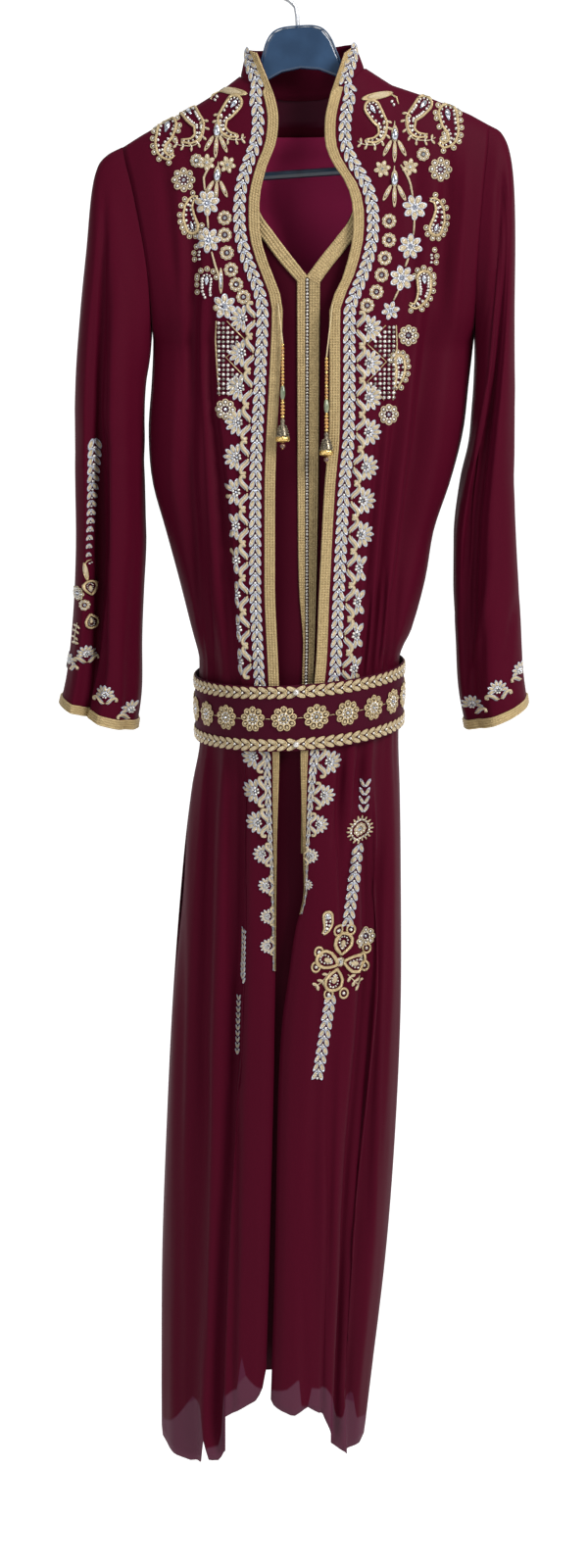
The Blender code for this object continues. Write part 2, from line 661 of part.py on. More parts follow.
# Neck braids of the under-dress: x and height of the upper edge, then of the lower edge
NECK_BRAID = {
    RIGHT: [(-47, -192, -58, -205), (-34, -234, -43, -245), (-19, -256, -27, -266), (-5, -274, -13, -284),
            (11.0, -294, 2.5, -301)],
    LEFT: [(65, -205, 76, -214), (56, -240, 66, -249), (42, -260, 52, -270), (28, -277, 38, -287),
           (15.0, -294, 27.5, -301)],
}
NECK_BRAID_PIECES = 8
NECK_BRAID_GAP = 1.0

BELT_COLUMNS = 40
BELT_MIDDLE = -725.0
BELT_SLOPE = 0.067
BELT_HALF_HEIGHT = 33.5
BELT_EDGE_TRIM = 14.0
BELT_GAP = 2.9
BELT_WALL = 1.8 * MM

# Tassels: x and height of the tie's start, x and height of the first bead, foot height
TASSELS = {
    RIGHT: {"tie": (-12.0, -323), "bead": (-10.6, -361), "foot": -462},
    LEFT: {"tie": (35.0, -324), "bead": (32.3, -374), "foot": -468},
}
TIE_RADIUS = 0.7 * MM
TASSEL_LEAN = math.radians(9.0)
TIE_INSET = 3.0
TIE_STEPS = 10
TIE_SAG = 0.8
BEAD_CLEARANCE = 3.0
THREAD_GAP = 0.3
# Threaded beads from the top: how many, length, radius
BEAD_LENGTHS = [(12, 3.3, 1.7), (1, 16.0, 2.6), (5, 3.4, 2.1)]
# Outline of the tassel's cone and cap: drop, radius
TASSEL_OUTLINE = [
    (0.0, 0.0), (0.0, 1.6), (3.0, 2.4), (5.5, 2.0), (7.0, 3.4), (12.0, 5.0), (18.0, 6.2), (20.0, 6.6),
    (22.0, 5.6), (23.0, 2.2), (24.5, 1.5), (26.0, 2.8), (27.5, 2.8), (29.0, 1.6), (29.6, 0.0),
]

# Hanger's upper outline from its middle to the arm's tip, then its lower outline back: x, height
HANGER_OUTLINE = [
    (0, -62), (14, -62.5), (24, -66), (31, -75), (36, -88), (42, -103), (50, -111.5), (61, -114.5),
    (80, -123.6), (104, -133.9), (130, -145.7), (143, -154.3), (150, -160.5), (151, -168), (147, -172.5),
    (130, -165), (104, -154), (80, -145), (60, -133), (47, -122), (34, -110), (18, -103), (0, -100.5),
]
HANGER_HALF_DEPTH = 4.5 * MM
HANGER_ROUNDING = 2.2 * MM
BAR_RADIUS = 4.2 * MM
BAR_ROUTE = [
    (-134, -169.0), (-134, -186), (-130, -195), (-121, -199),
    (121, -199), (130, -195), (134, -186), (134, -169.0),
]
HOOK_RADIUS = 20.0
HOOK_CENTRE_Z = -18.0
HOOK_TURNS = range(-110, -301, -18)
HOOK_WIRE = 2.0
# Stem of the hook, from the hanger's middle to where its curl starts: x, height
HOOK_STEM = [(0.0, -61.5), (0.0, -50.0), (-1.0, -43.0), (-4.0, -39.5)]


def under_trim(name, side_range, levels, gap, wall, collection, finish):
    """A flat trim down the under-dress, between two x offsets from its centre line."""
    grid = []
    for z in levels:
        middle = smooth_between(UNDER_CENTRE, z, 1)
        row = []
        for share in (0.0, 0.5, 1.0):
            x = middle + lerp(side_range(z)[0], side_range(z)[1], share)
            point = body_point(x, z, FRONT, 1.0)
            point.y -= gap
            row.append(point * MM)
        grid.append(row)
    return sheet(name, grid, wall, collection, finish, outward=True)


def neck_braid(name, side, collection, finish):
    """Braid along one side of the under-dress's V neck."""
    rows = [(i,) + values for i, values in enumerate(NECK_BRAID[side])]
    upper, lower = [], []
    for i in range(NECK_BRAID_PIECES + 1):
        place = i * (len(rows) - 1) / NECK_BRAID_PIECES
        x0, z0, x1, z1 = (smooth_between(rows, place, k) for k in (1, 2, 3, 4))
        for line, x, z in ((upper, x0, z0), (lower, x1, z1)):
            point = body_point(x, z, FRONT, 1.0)
            point.y -= NECK_BRAID_GAP
            line.append(point * MM)
    grid = [upper, lower]
    return sheet(name, grid, TRIM_WALL, collection, finish, flip=(side == LEFT), outward=True)


def belt_grid(rise_low, rise_high, rows, out):
    """Rings of the belt between two rises from its middle line, moved out from the robe."""
    grid = []
    for r in range(rows + 1):
        rise = lerp(rise_high, rise_low, r / rows)
        ring = []
        for c in range(BELT_COLUMNS):
            turn = 2 * math.pi * c / BELT_COLUMNS
            level = BELT_MIDDLE
            centre = body_centre(level)
            side = RIGHT if math.cos(turn) < 0 else LEFT
            half = abs(body_edge(side, level) - centre)
            face = FRONT if math.sin(turn) < 0 else BACK
            depth = smooth_between(BODY, level, BODY_FRONT if face == FRONT else BODY_BACK)
            x = centre + (half + out) * math.cos(turn)
            y = (depth + out) * math.sin(turn)
            z = BELT_MIDDLE + rise + BELT_SLOPE * (x - centre)
            ring.append(Vector((x, y, z)) * MM)
        grid.append(ring)
    return grid


def turned(name, outline, segments, place, lean, collection, finish):
    """A turned solid from an outline of drop and radius, hung from a place."""
    mesh = bpy.data.meshes.new(name)
    points = [(radius * MM, 0, -drop * MM) for drop, radius in outline]
    mesh.from_pydata(points, [(i, i + 1) for i in range(len(points) - 1)], [])
    obj = bpy.data.objects.new(name, mesh)
    screw = obj.modifiers.new("turn", "SCREW")
    screw.steps = segments
    screw.render_steps = segments
    screw.use_merge_vertices = True
    screw.merge_threshold = 0.00002
    screw.use_normal_calculate = False
    obj.location = place
    obj.rotation_euler.x = lean
    return keep(obj, collection, finish)


def bead_outline():
    """Outline of a string of round beads, one after the other, with narrow waists."""
    outline = [(0.0, 0.0)]
    drop = 0.0
    for count, length, radius in BEAD_LENGTHS:
        for _ in range(count):
            outline += [(drop + length * 0.04, radius * 0.5), (drop + length * 0.5, radius)]
            drop += length
    outline += [(drop - 0.1, 1.0), (drop, 0.0)]
    return outline


def tassel(side, label, collection, thread, beads, metal):
    """Tie, threaded beads and tassel hanging from one front edge."""
    data = TASSELS[side]
    tie_x, tie_z = data["tie"]
    bead_x, bead_z = data["bead"]
    trim_face = (LAY_GAP * 2 + TRIM_WALL) / MM
    start = body_point(tie_x + side * TIE_INSET, tie_z, FRONT)
    start.y -= trim_face + TIE_RADIUS / MM
    head = body_point(bead_x, bead_z, FRONT)
    head.y -= trim_face + BEAD_CLEARANCE
    curve = bpy.data.curves.new("tie_" + label, "CURVE")
    curve.dimensions = "3D"
    spline = curve.splines.new("POLY")
    spline.points.add(TIE_STEPS)
    for i in range(TIE_STEPS + 1):
        t = i / TIE_STEPS
        point = start.lerp(head + Vector((0, 0, THREAD_GAP)), t)
        point.y -= math.sin(math.pi * t) * TIE_SAG
        spline.points[i].co = (*(point * MM), 1)
    curve.bevel_depth = TIE_RADIUS
    curve.bevel_resolution = 1
    curve.use_fill_caps = True
    tie = bpy.data.objects.new("tie_" + label, curve)
    collection.objects.link(tie)
    curve.materials.append(thread)
    outline = bead_outline()
    turned("beads_" + label, outline, 6, head * MM, -TASSEL_LEAN, collection, beads)
    length = outline[-1][0] + THREAD_GAP
    foot = head + Vector((0, -math.sin(TASSEL_LEAN) * length, -math.cos(TASSEL_LEAN) * length))
    turned("tassel_" + label, TASSEL_OUTLINE, 12, foot * MM, -TASSEL_LEAN, collection, metal)


def hanger(collection, plastic, dark_plastic, steel):
    """Flat coat hanger with a raised middle, a trouser bar and a wire hook."""
    curve = bpy.data.curves.new("hanger_body", "CURVE")
    curve.dimensions = "2D"
    curve.fill_mode = "BOTH"
    curve.extrude = HANGER_HALF_DEPTH - HANGER_ROUNDING
    curve.bevel_depth = HANGER_ROUNDING
    curve.bevel_resolution = 1
    whole = HANGER_OUTLINE + [(-x, z) for x, z in HANGER_OUTLINE[-2:0:-1]]
    spline = curve.splines.new("POLY")
    spline.points.add(len(whole) - 1)
    shrink = HANGER_ROUNDING / MM
    for index, (x, z) in enumerate(whole):
        before, after = Vector(whole[index - 1]), Vector(whole[(index + 1) % len(whole)])
        along = (after - before).normalized()
        inwards = Vector((along.y, -along.x)) * shrink
        spline.points[index].co = ((x + inwards.x) * MM, (z + inwards.y) * MM, 0, 1)
    spline.use_cyclic_u = True
    body = bpy.data.objects.new("hanger_body", curve)
    body.matrix_world = Matrix.Rotation(-HANGER_TILT, 4, "Y") @ Matrix.Rotation(math.radians(90), 4, "X")
    collection.objects.link(body)
    curve.materials.append(plastic)

    hook_route = list(HOOK_STEM)
    for degrees in HOOK_TURNS:
        turn = math.radians(degrees)
        hook_route.append((HOOK_RADIUS * math.cos(turn), HOOK_CENTRE_Z + HOOK_RADIUS * math.sin(turn)))
    wire("hanger_hook", hook_route, HOOK_WIRE * MM, collection, steel)
    wire("hanger_bar", BAR_ROUTE, BAR_RADIUS, collection, dark_plastic)


def wire(name, route, radius, collection, finish):
    """A round bar along a route in the hanger's own plane."""
    curve = bpy.data.curves.new(name, "CURVE")
    curve.dimensions = "3D"
    spline = curve.splines.new("POLY")
    spline.points.add(len(route) - 1)
    for index, (x, z) in enumerate(route):
        spline.points[index].co = (x * MM, 0, z * MM, 1)
    curve.bevel_depth = radius
    curve.bevel_resolution = 2
    curve.use_fill_caps = True
    obj = bpy.data.objects.new(name, curve)
    obj.rotation_euler.y = -HANGER_TILT
    collection.objects.link(obj)
    curve.materials.append(finish)
    return obj


def main():
    for obj in list(bpy.data.objects):
        bpy.data.objects.remove(obj, do_unlink=True)
    collection = bpy.data.collections.new("moroccan_kaftan")
    bpy.context.scene.collection.children.link(collection)

    wine = material("robe_georgette", (0.085, 0.012, 0.028), 0.62)
    dark_wine = material("under_dress_cloth", (0.10, 0.012, 0.03), 0.5)
    gold_braid = material("gold_braid", (0.62, 0.50, 0.28), 0.45, 0.3)
    silver = material("silver_embroidery", (0.72, 0.70, 0.64), 0.4, 0.3)
    crystal = material("crystal_trim", (0.7, 0.7, 0.74), 0.15)
    belt_cloth = material("belt_cloth", (0.10, 0.015, 0.03), 0.5)
    plastic = material("hanger_plastic", (0.03, 0.07, 0.14), 0.35)
    dark_plastic = material("hanger_bar_plastic", (0.012, 0.02, 0.045), 0.35)
    steel = material("hook_steel", (0.6, 0.6, 0.6), 0.25, 1.0)
    thread = material("tie_thread", (0.6, 0.48, 0.28), 0.6)
    beads = material("glass_beads", (0.5, 0.3, 0.08), 0.2)
    metal = material("tassel_metal", (0.6, 0.45, 0.2), 0.3, 0.8)

    collar = collar_grid()
    for side, label, flip in ((RIGHT, "right", False), (LEFT, "left", True)):
        def columns_at(z, side=side):
            return front_columns(side, z)
        grid = panel_grid(columns_at, FRONT_TOP, 1, FRONT)
        sheet("robe_front_" + label, grid, CLOTH_WALL, collection, wine, flip=not flip)
        rows = (0, len(SHOULDER_STEPS) + LEVELS.index(-920) + 1)
        outer = pushed(grid, LAY_GAP, flip=not flip)
        on_collar = pushed(collar, LAY_GAP, flip=True)
        if side == LEFT:
            on_collar = [row[::-1] for row in on_collar]
        braid = strip_of(on_collar, 0, 1, (0, COLLAR_ROWS)) + strip_of(outer, 0, 1, rows)
        chain = strip_of(outer, 2, 3, (CHAIN_FIRST_ROW, rows[1]))
        sheet("robe_braid_" + label, braid, TRIM_WALL, collection, gold_braid, flip=not flip, outward=True)
        sheet("robe_chain_" + label, chain, TRIM_WALL, collection, silver, flip=not flip, outward=True)

        sleeve = sleeve_grid(side)
        sheet("sleeve_" + label, sleeve, CLOTH_WALL, collection, wine, closed=True)
        cuff = pushed(sleeve, LAY_GAP, closed=True)[-2:]
        sheet("cuff_braid_" + label, cuff, TRIM_WALL, collection, gold_braid, closed=True, outward=True)
        neck_braid("neck_braid_" + label, side, collection, gold_braid)

    back = panel_grid(back_columns, BACK_TOP, 2, BACK)
    sheet("robe_back", back, CLOTH_WALL, collection, wine, flip=True)
    sheet("collar", collar, CLOTH_WALL, collection, wine, flip=True)

    sheet("under_dress_front", under_grid(FRONT), CLOTH_WALL, collection, dark_wine)
    sheet("under_dress_back", under_grid(BACK), CLOTH_WALL, collection, dark_wine, flip=True)

    def right_braid(z):
        return smooth_between(UNDER_CENTRE, z, 2), -UNDER_BRAID_START[0]

    def left_braid(z):
        return UNDER_BRAID_START[1], smooth_between(UNDER_CENTRE, z, 3)

    def crystals(_):
        return CRYSTAL_MIDDLE - CRYSTAL_HALF_WIDTH, CRYSTAL_MIDDLE + CRYSTAL_HALF_WIDTH

    under_trim("centre_braid_right", right_braid, UNDER_TRIM_LEVELS, UNDER_TRIM_GAP, TRIM_WALL, collection,
               gold_braid)
    under_trim("centre_braid_left", left_braid, UNDER_TRIM_LEVELS, UNDER_TRIM_GAP, TRIM_WALL, collection,
               gold_braid)
    under_trim("crystal_row", crystals, UNDER_TRIM_LEVELS, UNDER_TRIM_GAP, CRYSTAL_WALL, collection, crystal)

    half, trim = BELT_HALF_HEIGHT, BELT_EDGE_TRIM
    sheet("belt_band", belt_grid(-half, half, 1, BELT_GAP), BELT_WALL, collection, belt_cloth, closed=True,
          outward=True)
    trim_out = BELT_GAP + BELT_WALL / MM + LAY_GAP / MM
    sheet("belt_edge_top", belt_grid(half - trim, half, 1, trim_out), TRIM_WALL, collection, silver,
          closed=True, outward=True)
    sheet("belt_edge_bottom", belt_grid(-half, trim - half, 1, trim_out), TRIM_WALL, collection, silver,
          closed=True, outward=True)

    tassel(RIGHT, "right", collection, thread, beads, metal)
    tassel(LEFT, "left", collection, thread, beads, metal)
    hanger(collection, plastic, dark_plastic, steel)


main()
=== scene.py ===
"""Looks of the Moroccan kaftan: open over-robe, under-dress, belt, tassels and coat hanger.

The cloth repeats the named sizes and tables of the part's source on a finer grid, and the
embroidery is laid on that cloth. Tables give millimetres, from the hook's hanging point.
"""

import json
import math

import bpy
from mathutils import Matrix, Vector, noise
from mathutils.bvhtree import BVHTree

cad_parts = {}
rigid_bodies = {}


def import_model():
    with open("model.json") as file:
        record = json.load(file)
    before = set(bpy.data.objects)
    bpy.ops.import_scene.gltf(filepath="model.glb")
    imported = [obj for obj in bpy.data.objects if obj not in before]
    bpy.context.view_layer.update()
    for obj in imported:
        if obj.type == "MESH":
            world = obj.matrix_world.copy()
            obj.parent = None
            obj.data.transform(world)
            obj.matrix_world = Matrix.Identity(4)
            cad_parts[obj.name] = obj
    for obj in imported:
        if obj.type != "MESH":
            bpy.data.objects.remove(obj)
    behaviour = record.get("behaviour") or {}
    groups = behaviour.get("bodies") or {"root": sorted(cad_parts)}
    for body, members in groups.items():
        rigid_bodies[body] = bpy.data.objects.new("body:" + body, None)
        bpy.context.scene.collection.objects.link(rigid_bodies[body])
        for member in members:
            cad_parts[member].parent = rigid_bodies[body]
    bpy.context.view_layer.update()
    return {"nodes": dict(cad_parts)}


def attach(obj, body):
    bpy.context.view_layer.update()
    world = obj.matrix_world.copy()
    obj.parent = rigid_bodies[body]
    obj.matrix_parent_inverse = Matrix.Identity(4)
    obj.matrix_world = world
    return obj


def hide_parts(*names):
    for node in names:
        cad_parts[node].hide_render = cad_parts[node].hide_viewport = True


MM = 0.001
LAY_GAP = 0.4 * MM
TRIM_WALL = 1.4 * MM
SEAM_HALF_GAP = 0.15
BRAID_WIDTH = 10.5
CHAIN_INSET = 12.5
CHAIN_WIDTH = 14.0
CHAIN_FIRST_ROW = 9
UNDERARM_Z = -360.0
HANGER_TILT = math.radians(3.8)
CREST_DROP = 60.0
UNDER_CREST_INSET = 2.8
UNDER_ARMHOLE_BLEND = 60.0
ROUND_SECTION_TOP = -240.0
ROUND_SECTION_SPAN = 180.0
FOLD_SPACING = 3.0
ROLL_AT_BRAID = 0.35
ROLL_AT_CHAIN = 0.25

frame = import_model()
NODES = frame["nodes"]

RIGHT, LEFT = -1, 1
FRONT, BACK = -1, 1


def lerp(a, b, t):
    return a + (b - a) * t


def clamp(t):
    """The number, kept between 0 and 1."""
    return max(0.0, min(1.0, t))


def smooth_between(table, key, column):
    """Value of a column of a table at a key, with smooth slopes between its rows."""
    rows = table if table[0][0] < table[-1][0] else table[::-1]
    if key <= rows[0][0]:
        return rows[0][column]
    if key >= rows[-1][0]:
        return rows[-1][column]
    index = 0
    while rows[index + 1][0] < key:
        index += 1

    def slope(i):
        low, high = max(i - 1, 0), min(i + 1, len(rows) - 1)
        return (rows[high][column] - rows[low][column]) / (rows[high][0] - rows[low][0])

    (k0, v0), (k1, v1) = ((rows[i][0], rows[i][column]) for i in (index, index + 1))
    span = k1 - k0
    t = (key - k0) / span
    m0, m1 = slope(index) * span, slope(index + 1) * span
    chord = v1 - v0
    m0, m1 = (max(-abs(chord) * 3, min(abs(chord) * 3, m)) if m * chord > 0 else 0.0 for m in (m0, m1))
    return ((2 * t ** 3 - 3 * t ** 2 + 1) * v0 + (t ** 3 - 2 * t ** 2 + t) * m0
            + (3 * t ** 2 - 2 * t ** 3) * v1 + (t ** 3 - t ** 2) * m1)


def straight_between(table, key, column=1):
    """Value of a column of a table at a key, straight between its rows."""
    rows = table if table[0][0] < table[-1][0] else table[::-1]
    if key <= rows[0][0]:
        return rows[0][column]
    for low, high in zip(rows, rows[1:]):
        if key <= high[0]:
            return lerp(low[column], high[column], (key - low[0]) / (high[0] - low[0]))
    return rows[-1][column]


# Body sections: height, right side x, left side x, front depth, back depth
BODY = [
    (-100, -168, 192, 30, 30),
    (-150, -168, 192, 34, 33),
    (-220, -160, 190, 43, 40),
    (-300, -144, 186, 50, 47),
    (-360, -141, 181, 56, 53),
    (-400, -143, 177, 61, 58),
    (-450, -147, 172, 67, 64),
    (-500, -144, 160, 74, 72),
    (-550, -131, 144, 82, 81),
    (-600, -118, 136, 91, 90),
    (-650, -106, 123, 99, 98),
    (-682, -98, 110, 102, 101),
    (-770, -98, 110, 102, 101),
    (-820, -107, 112, 103, 102),
    (-900, -117, 114, 102, 103),
    (-1050, -130, 116, 101, 105),
    (-1200, -139, 112, 101, 107),
    (-1350, -146, 103, 102, 109),
    (-1500, -149, 88, 103, 110),
    (-1600, -150, 78, 103, 110),
]
BODY_RIGHT, BODY_LEFT, BODY_FRONT, BODY_BACK = 1, 2, 3, 4

# How far the under-dress lies inside the robe: height, at the front and back, at the sides
UNDER_INSET = [
    (-100, 2.0, 4.0),
    (-200, 5.0, 8.0),
    (-300, 12.0, 17.0),
    (-400, 16.0, 24.0),
    (-600, 17.0, 17.0),
    (-690, 9.5, 9.5),
    (-760, 9.5, 9.5),
    (-850, 16.0, 17.0),
    (-950, 19.0, 22.0),
    (-1500, 20.0, 24.0),
]

# Crest of the shoulders and neck: x, height
CREST = [
    (-168, -174), (-150, -163), (-125, -149.5), (-95, -134.5), (-67, -118), (-52, -107), (-38, -96),
    (7, -88), (55, -90), (69, -99), (96, -115.5), (135, -128), (173, -143), (192, -153),
]

# Top edge of the robe's panels, along the shoulder and the neck seam: x, height
FRONT_TOP = [
    (-168, -174), (-150, -163), (-125, -149.5), (-95, -134.5), (-67, -118), (-52, -107),
    (-35, -121), (-17, -132), (34, -132), (52, -116), (69, -99),
    (96, -115.5), (135, -128), (173, -143), (192, -153),
]
BACK_TOP = [
    (-168, -174), (-150, -163), (-125, -149.5), (-95, -134.5), (-67, -118), (-52, -107),
    (-40, -116), (-25, -121.5), (-8, -124), (7, -124.5), (25, -123.5), (42, -119.5), (57, -111), (69, -99),
    (96, -115.5), (135, -128), (173, -143), (192, -153),
]

# Armholes: half depth of the lens, shoulder point and underarm point (x, z), inward bow
ARMHOLE_DEPTH = 24.0
ARMHOLE = {
    RIGHT: {"top": (-168, -174), "bottom": (-141, -360), "bow": 7.0},
    LEFT: {"top": (192, -153), "bottom": (181, -360), "bow": -4.0},
}

# Front opening of the robe: height, right front's edge x, left front's edge x
OPENING = [
    (-87, -35.0, 49.0), (-104, -27.6, 42.5), (-118, -22.0, 38.0), (-132, -17.3, 34.0),
    (-148, -14.6, 30.5), (-163, -15.5, 30.0), (-176, -18.4, 31.6), (-191, -25.0, 38.2),
    (-204, -28.8, 47.7), (-218, -32.2, 54.4), (-235, -33.2, 57.8), (-254, -32.8, 58.0),
    (-272, -29.1, 55.5), (-288, -23.5, 51.0), (-304, -16.9, 45.5), (-318, -12.0, 38.0),
    (-332, -10.6, 35.0), (-400, -13.6, 35.2), (-450, -16.3, 34.8), (-500, -18.1, 30.5),
    (-600, -18.3, 25.2), (-690, -14.5, 20.5), (-760, -14.0, 7.0), (-850, -17.0, 9.5),
    (-910, -18.2, 11.0), (-950, -18.8, 2.0), (-1000, -19.6, -5.0), (-1050, -20.4, -12.0),
    (-1120, -21.5, -16.0), (-1350, -27.0, -20.5), (-1500, -31.0, -25.0),
]

# Heights that the fold tables give a value for
FOLD_HEIGHTS = [-150, -220, -300, -400, -500, -600, -690, -760, -850, -950, -1050, -1200, -1350, -1500]

UNFOLDED = [0] * len(FOLD_HEIGHTS)

# Robe's right front, from the trim to the side: kind, x at each height, depth at each height
RIGHT_FOLDS = [
    ("panel ridge",
     [-48, -64, -74, -75, -64, -56, -51, -50, -51, -52, -57, -63, -70, -75], UNFOLDED),
    ("panel valley",
     [-58, -73, -81, -82, -71, -62, -56, -55, -57, -59, -65, -70, -77, -82],
     [0, 0, 1, 6, 10, 11, 5, 5, 9, 12, 14, 14, 14, 14]),
    ("side ridge",
     [-82, -88, -90, -91, -88, -80, -69, -69, -75, -79, -83, -88, -94, -99], UNFOLDED),
    ("side valley",
     [-102, -102, -99, -102, -106, -96, -82, -82, -89, -94, -99, -105, -111, -115],
     [0, 1, 5, 8, 8, 7, 4, 4, 8, 10, 11, 11, 11, 11]),
    ("outer ridge",
     [-132, -124, -117, -119, -123, -106, -90, -90, -99, -108, -116, -124, -130, -133], UNFOLDED),
]

# Robe's left front, from the trim to the side
LEFT_FOLDS = [
    ("panel ridge",
     [64, 88, 88, 82, 75, 69, 62, 40, 42, 44, 34, 30, 28, 27], UNFOLDED),
    ("panel valley",
     [76, 98, 97, 89, 81, 74, 68, 49, 49, 51, 43, 38, 35, 33],
     [0, 0, 0, 2, 4, 6, 4, 4, 7, 5, 3, 3, 4, 5]),
    ("middle ridge",
     [92, 110, 106, 97, 88, 81, 75, 60, 62, 68, 62, 50, 45, 42], UNFOLDED),
    ("middle valley",
     [108, 121, 115, 105, 95, 88, 81, 70, 76, 81, 77, 63, 55, 51],
     [0, 0, 1, 4, 8, 9, 5, 5, 9, 12, 13, 13, 12, 11]),
    ("side ridge",
     [128, 136, 127, 117, 107, 97, 88, 81, 85, 88, 86, 74, 64, 58], UNFOLDED),
    ("side valley",
     [147, 151, 141, 130, 119, 107, 95, 91, 94, 96, 94, 84, 73, 66],
     [0, 3, 7, 10, 12, 9, 4, 4, 8, 9, 10, 10, 9, 8]),
    ("outer ridge",
     [168, 169, 162, 153, 141, 121, 102, 101, 105, 106, 105, 97, 86, 74], UNFOLDED),
]

# How far the front edges roll inward, at each fold height
EDGE_ROLL = [0, 0, 0, 0, 0, 0, 0, 0, 2, 6, 9, 10, 10, 10]

# Robe's back, from the right side to the left: kind, turn round the section in degrees, depths
BACK_FOLDS = [
    ("right ridge", -72, UNFOLDED),
    ("right valley", -55, [0, 2, 5, 8, 9, 8, 4, 4, 9, 11, 12, 12, 12, 12]),
    ("right middle ridge", -38, UNFOLDED),
    ("right middle valley", -22, [0, 0, 2, 5, 7, 7, 4, 4, 8, 11, 13, 13, 13, 13]),
    ("centre ridge", -4, UNFOLDED),
    ("left middle valley", 16, [0, 1, 3, 6, 8, 8, 4, 4, 7, 9, 10, 11, 11, 11]),
    ("left middle ridge", 33, UNFOLDED),
    ("left valley", 53, [0, 2, 6, 9, 10, 8, 4, 4, 9, 12, 12, 11, 10, 9]),
    ("left ridge", 72, UNFOLDED),
]

# Hem of the robe: x, height at the front, height at the back
HEM = [
    (-150, -1566, -1566), (-120, -1573, -1570), (-104, -1566, -1572), (-99, -1536, -1573),
    (-94, -1560, -1573), (-86, -1563, -1573), (-79, -1546, -1573), (-75, -1502, -1573), (-55, -1488, -1560),
    (-40, -1479, -1530), (-33, -1464, -1520), (-30, -1436, -1518), (-27, -1478, -1518), (-22, -1488, -1520),
    (0, -1499, -1535), (16, -1491, -1560), (34, -1505, -1565), (42, -1532, -1566), (48, -1549, -1566),
    (61, -1569, -1564), (74, -1567, -1563), (78, -1562, -1562),
]

# Rows of the body's grid: the steps over the shoulder, then level heights, then steps to the hem
SHOULDER_STEPS = [0.0, 0.006, 0.025, 0.07, 0.15, 0.27, 0.42, 0.60, 0.80, 1.0]
LEVELS = [-360, -420, -480, -540, -600, -650, -688, -725, -762, -805, -860, -920, -980, -1050]
HEM_STEPS = [0.0, 0.2, 0.42, 0.64, 0.84, 1.0]
SHOULDER_FINE, LEVEL_FINE, HEM_FINE = 3, 5, 8
# Columns of a front panel: across the braid, to the chain and across it, then to each fold
TRIM_PIECES = [3, 1, 3]
TRIM_COLUMNS = 4
COLUMN_STEPS = 7
# Heights at which the search for the panels' top and hem starts, and its rounds
TOP_SEARCH_Z, HEM_SEARCH_Z, SEARCH_ROUNDS = -150.0, -1540, 12


def finer(values, steps):
    """The same row of numbers with steps points from each to the next."""
    fine = [lerp(a, b, i / steps) for a, b in zip(values, values[1:]) for i in range(steps)]
    return fine + [values[-1]]


def fold_value(values, z):
    """Value of a fold's list at a height."""
    return smooth_between(list(zip(FOLD_HEIGHTS, values)), z, 1)


def armhole_x(side, z):
    """X of the armhole seam at a height between the shoulder and the underarm."""
    hole = ARMHOLE[side]
    (top_x, top_z), (bottom_x, bottom_z) = hole["top"], hole["bottom"]
    t = clamp((top_z - z) / (top_z - bottom_z))
    return lerp(top_x, bottom_x, t) + hole["bow"] * 4 * t * (1 - t)


def armhole_depth(side, z):
    """Half depth of the lens-shaped armhole at a height."""
    top_z, bottom_z = ARMHOLE[side]["top"][1], ARMHOLE[side]["bottom"][1]
    middle, half = (top_z + bottom_z) / 2, (top_z - bottom_z) / 2
    return ARMHOLE_DEPTH * math.sqrt(max(0.0, 1 - ((z - middle) / half) ** 2))


def body_edge(side, z, inset=0.0):
    """X of the side of the body at a height: the armhole seam, then the side seam."""
    if z > UNDERARM_Z:
        return armhole_x(side, z) - side * inset
    return smooth_between(BODY, z, BODY_RIGHT if side == RIGHT else BODY_LEFT) - side * inset


def body_centre(z):
    return (body_edge(RIGHT, z) + body_edge(LEFT, z)) / 2


def opening_x(side, z):
    """X of a front's opening edge at a height."""
    return smooth_between(OPENING, z, 1 if side == RIGHT else 2)


def body_point(x, z, face, under=0.0):
    """A point of the plain body section at x and z, without folds; under is 1 on the under-dress."""
    front_inset = under * smooth_between(UNDER_INSET, z, 1)
    below_armhole = clamp((UNDERARM_Z - z) / UNDER_ARMHOLE_BLEND)
    side_inset = under * below_armhole * smooth_between(UNDER_INSET, z, 2)
    centre = body_centre(z)
    side = RIGHT if x < centre else LEFT
    edge = body_edge(side, z, side_inset)
    share = max(-1.0, min(1.0, (x - centre) / (edge - centre)))
    full = smooth_between(BODY, z, BODY_FRONT if face == FRONT else BODY_BACK)
    full -= front_inset * below_armhole
    crest = straight_between(CREST, x) - under * UNDER_CREST_INSET
    lift = clamp((crest - z) / CREST_DROP)
    full *= math.sqrt(1 - (1 - lift) ** 2)
    hole_top, hole_bottom = ARMHOLE[side]["top"][1], ARMHOLE[side]["bottom"][1]
    down = clamp((crest - z) / (crest - hole_bottom))
    lens = min(armhole_depth(side, lerp(hole_top, hole_bottom, down)), full)
    round_share = clamp((ROUND_SECTION_TOP - z) / ROUND_SECTION_SPAN)
    round_power = lerp(1.0, 0.5, round_share)
    depth = lens + (full - lens) * (1 - share ** 2) ** round_power
    depth = max(0.0, depth - front_inset * (1 - below_armhole) * min(1.0, 5 * lift))
    return Vector((x, face * (depth + SEAM_HALF_GAP), z))


def inward(x, z, face, under=0.0):
    """Level direction into the body at a point of the plain section."""
    step = 1.0
    centre = body_centre(z)
    low, high = body_edge(RIGHT, z) + 1, body_edge(LEFT, z) - 1
    a = body_point(max(x - step, low), z, face, under)
    b = body_point(min(x + step, high), z, face, under)
    along = b - a
    normal = Vector((-along.y, along.x, 0)).normalized()
    towards = Vector((centre, 0, z)) - body_point(x, z, face, under)
    return normal if normal.dot(towards) > 0 else -normal


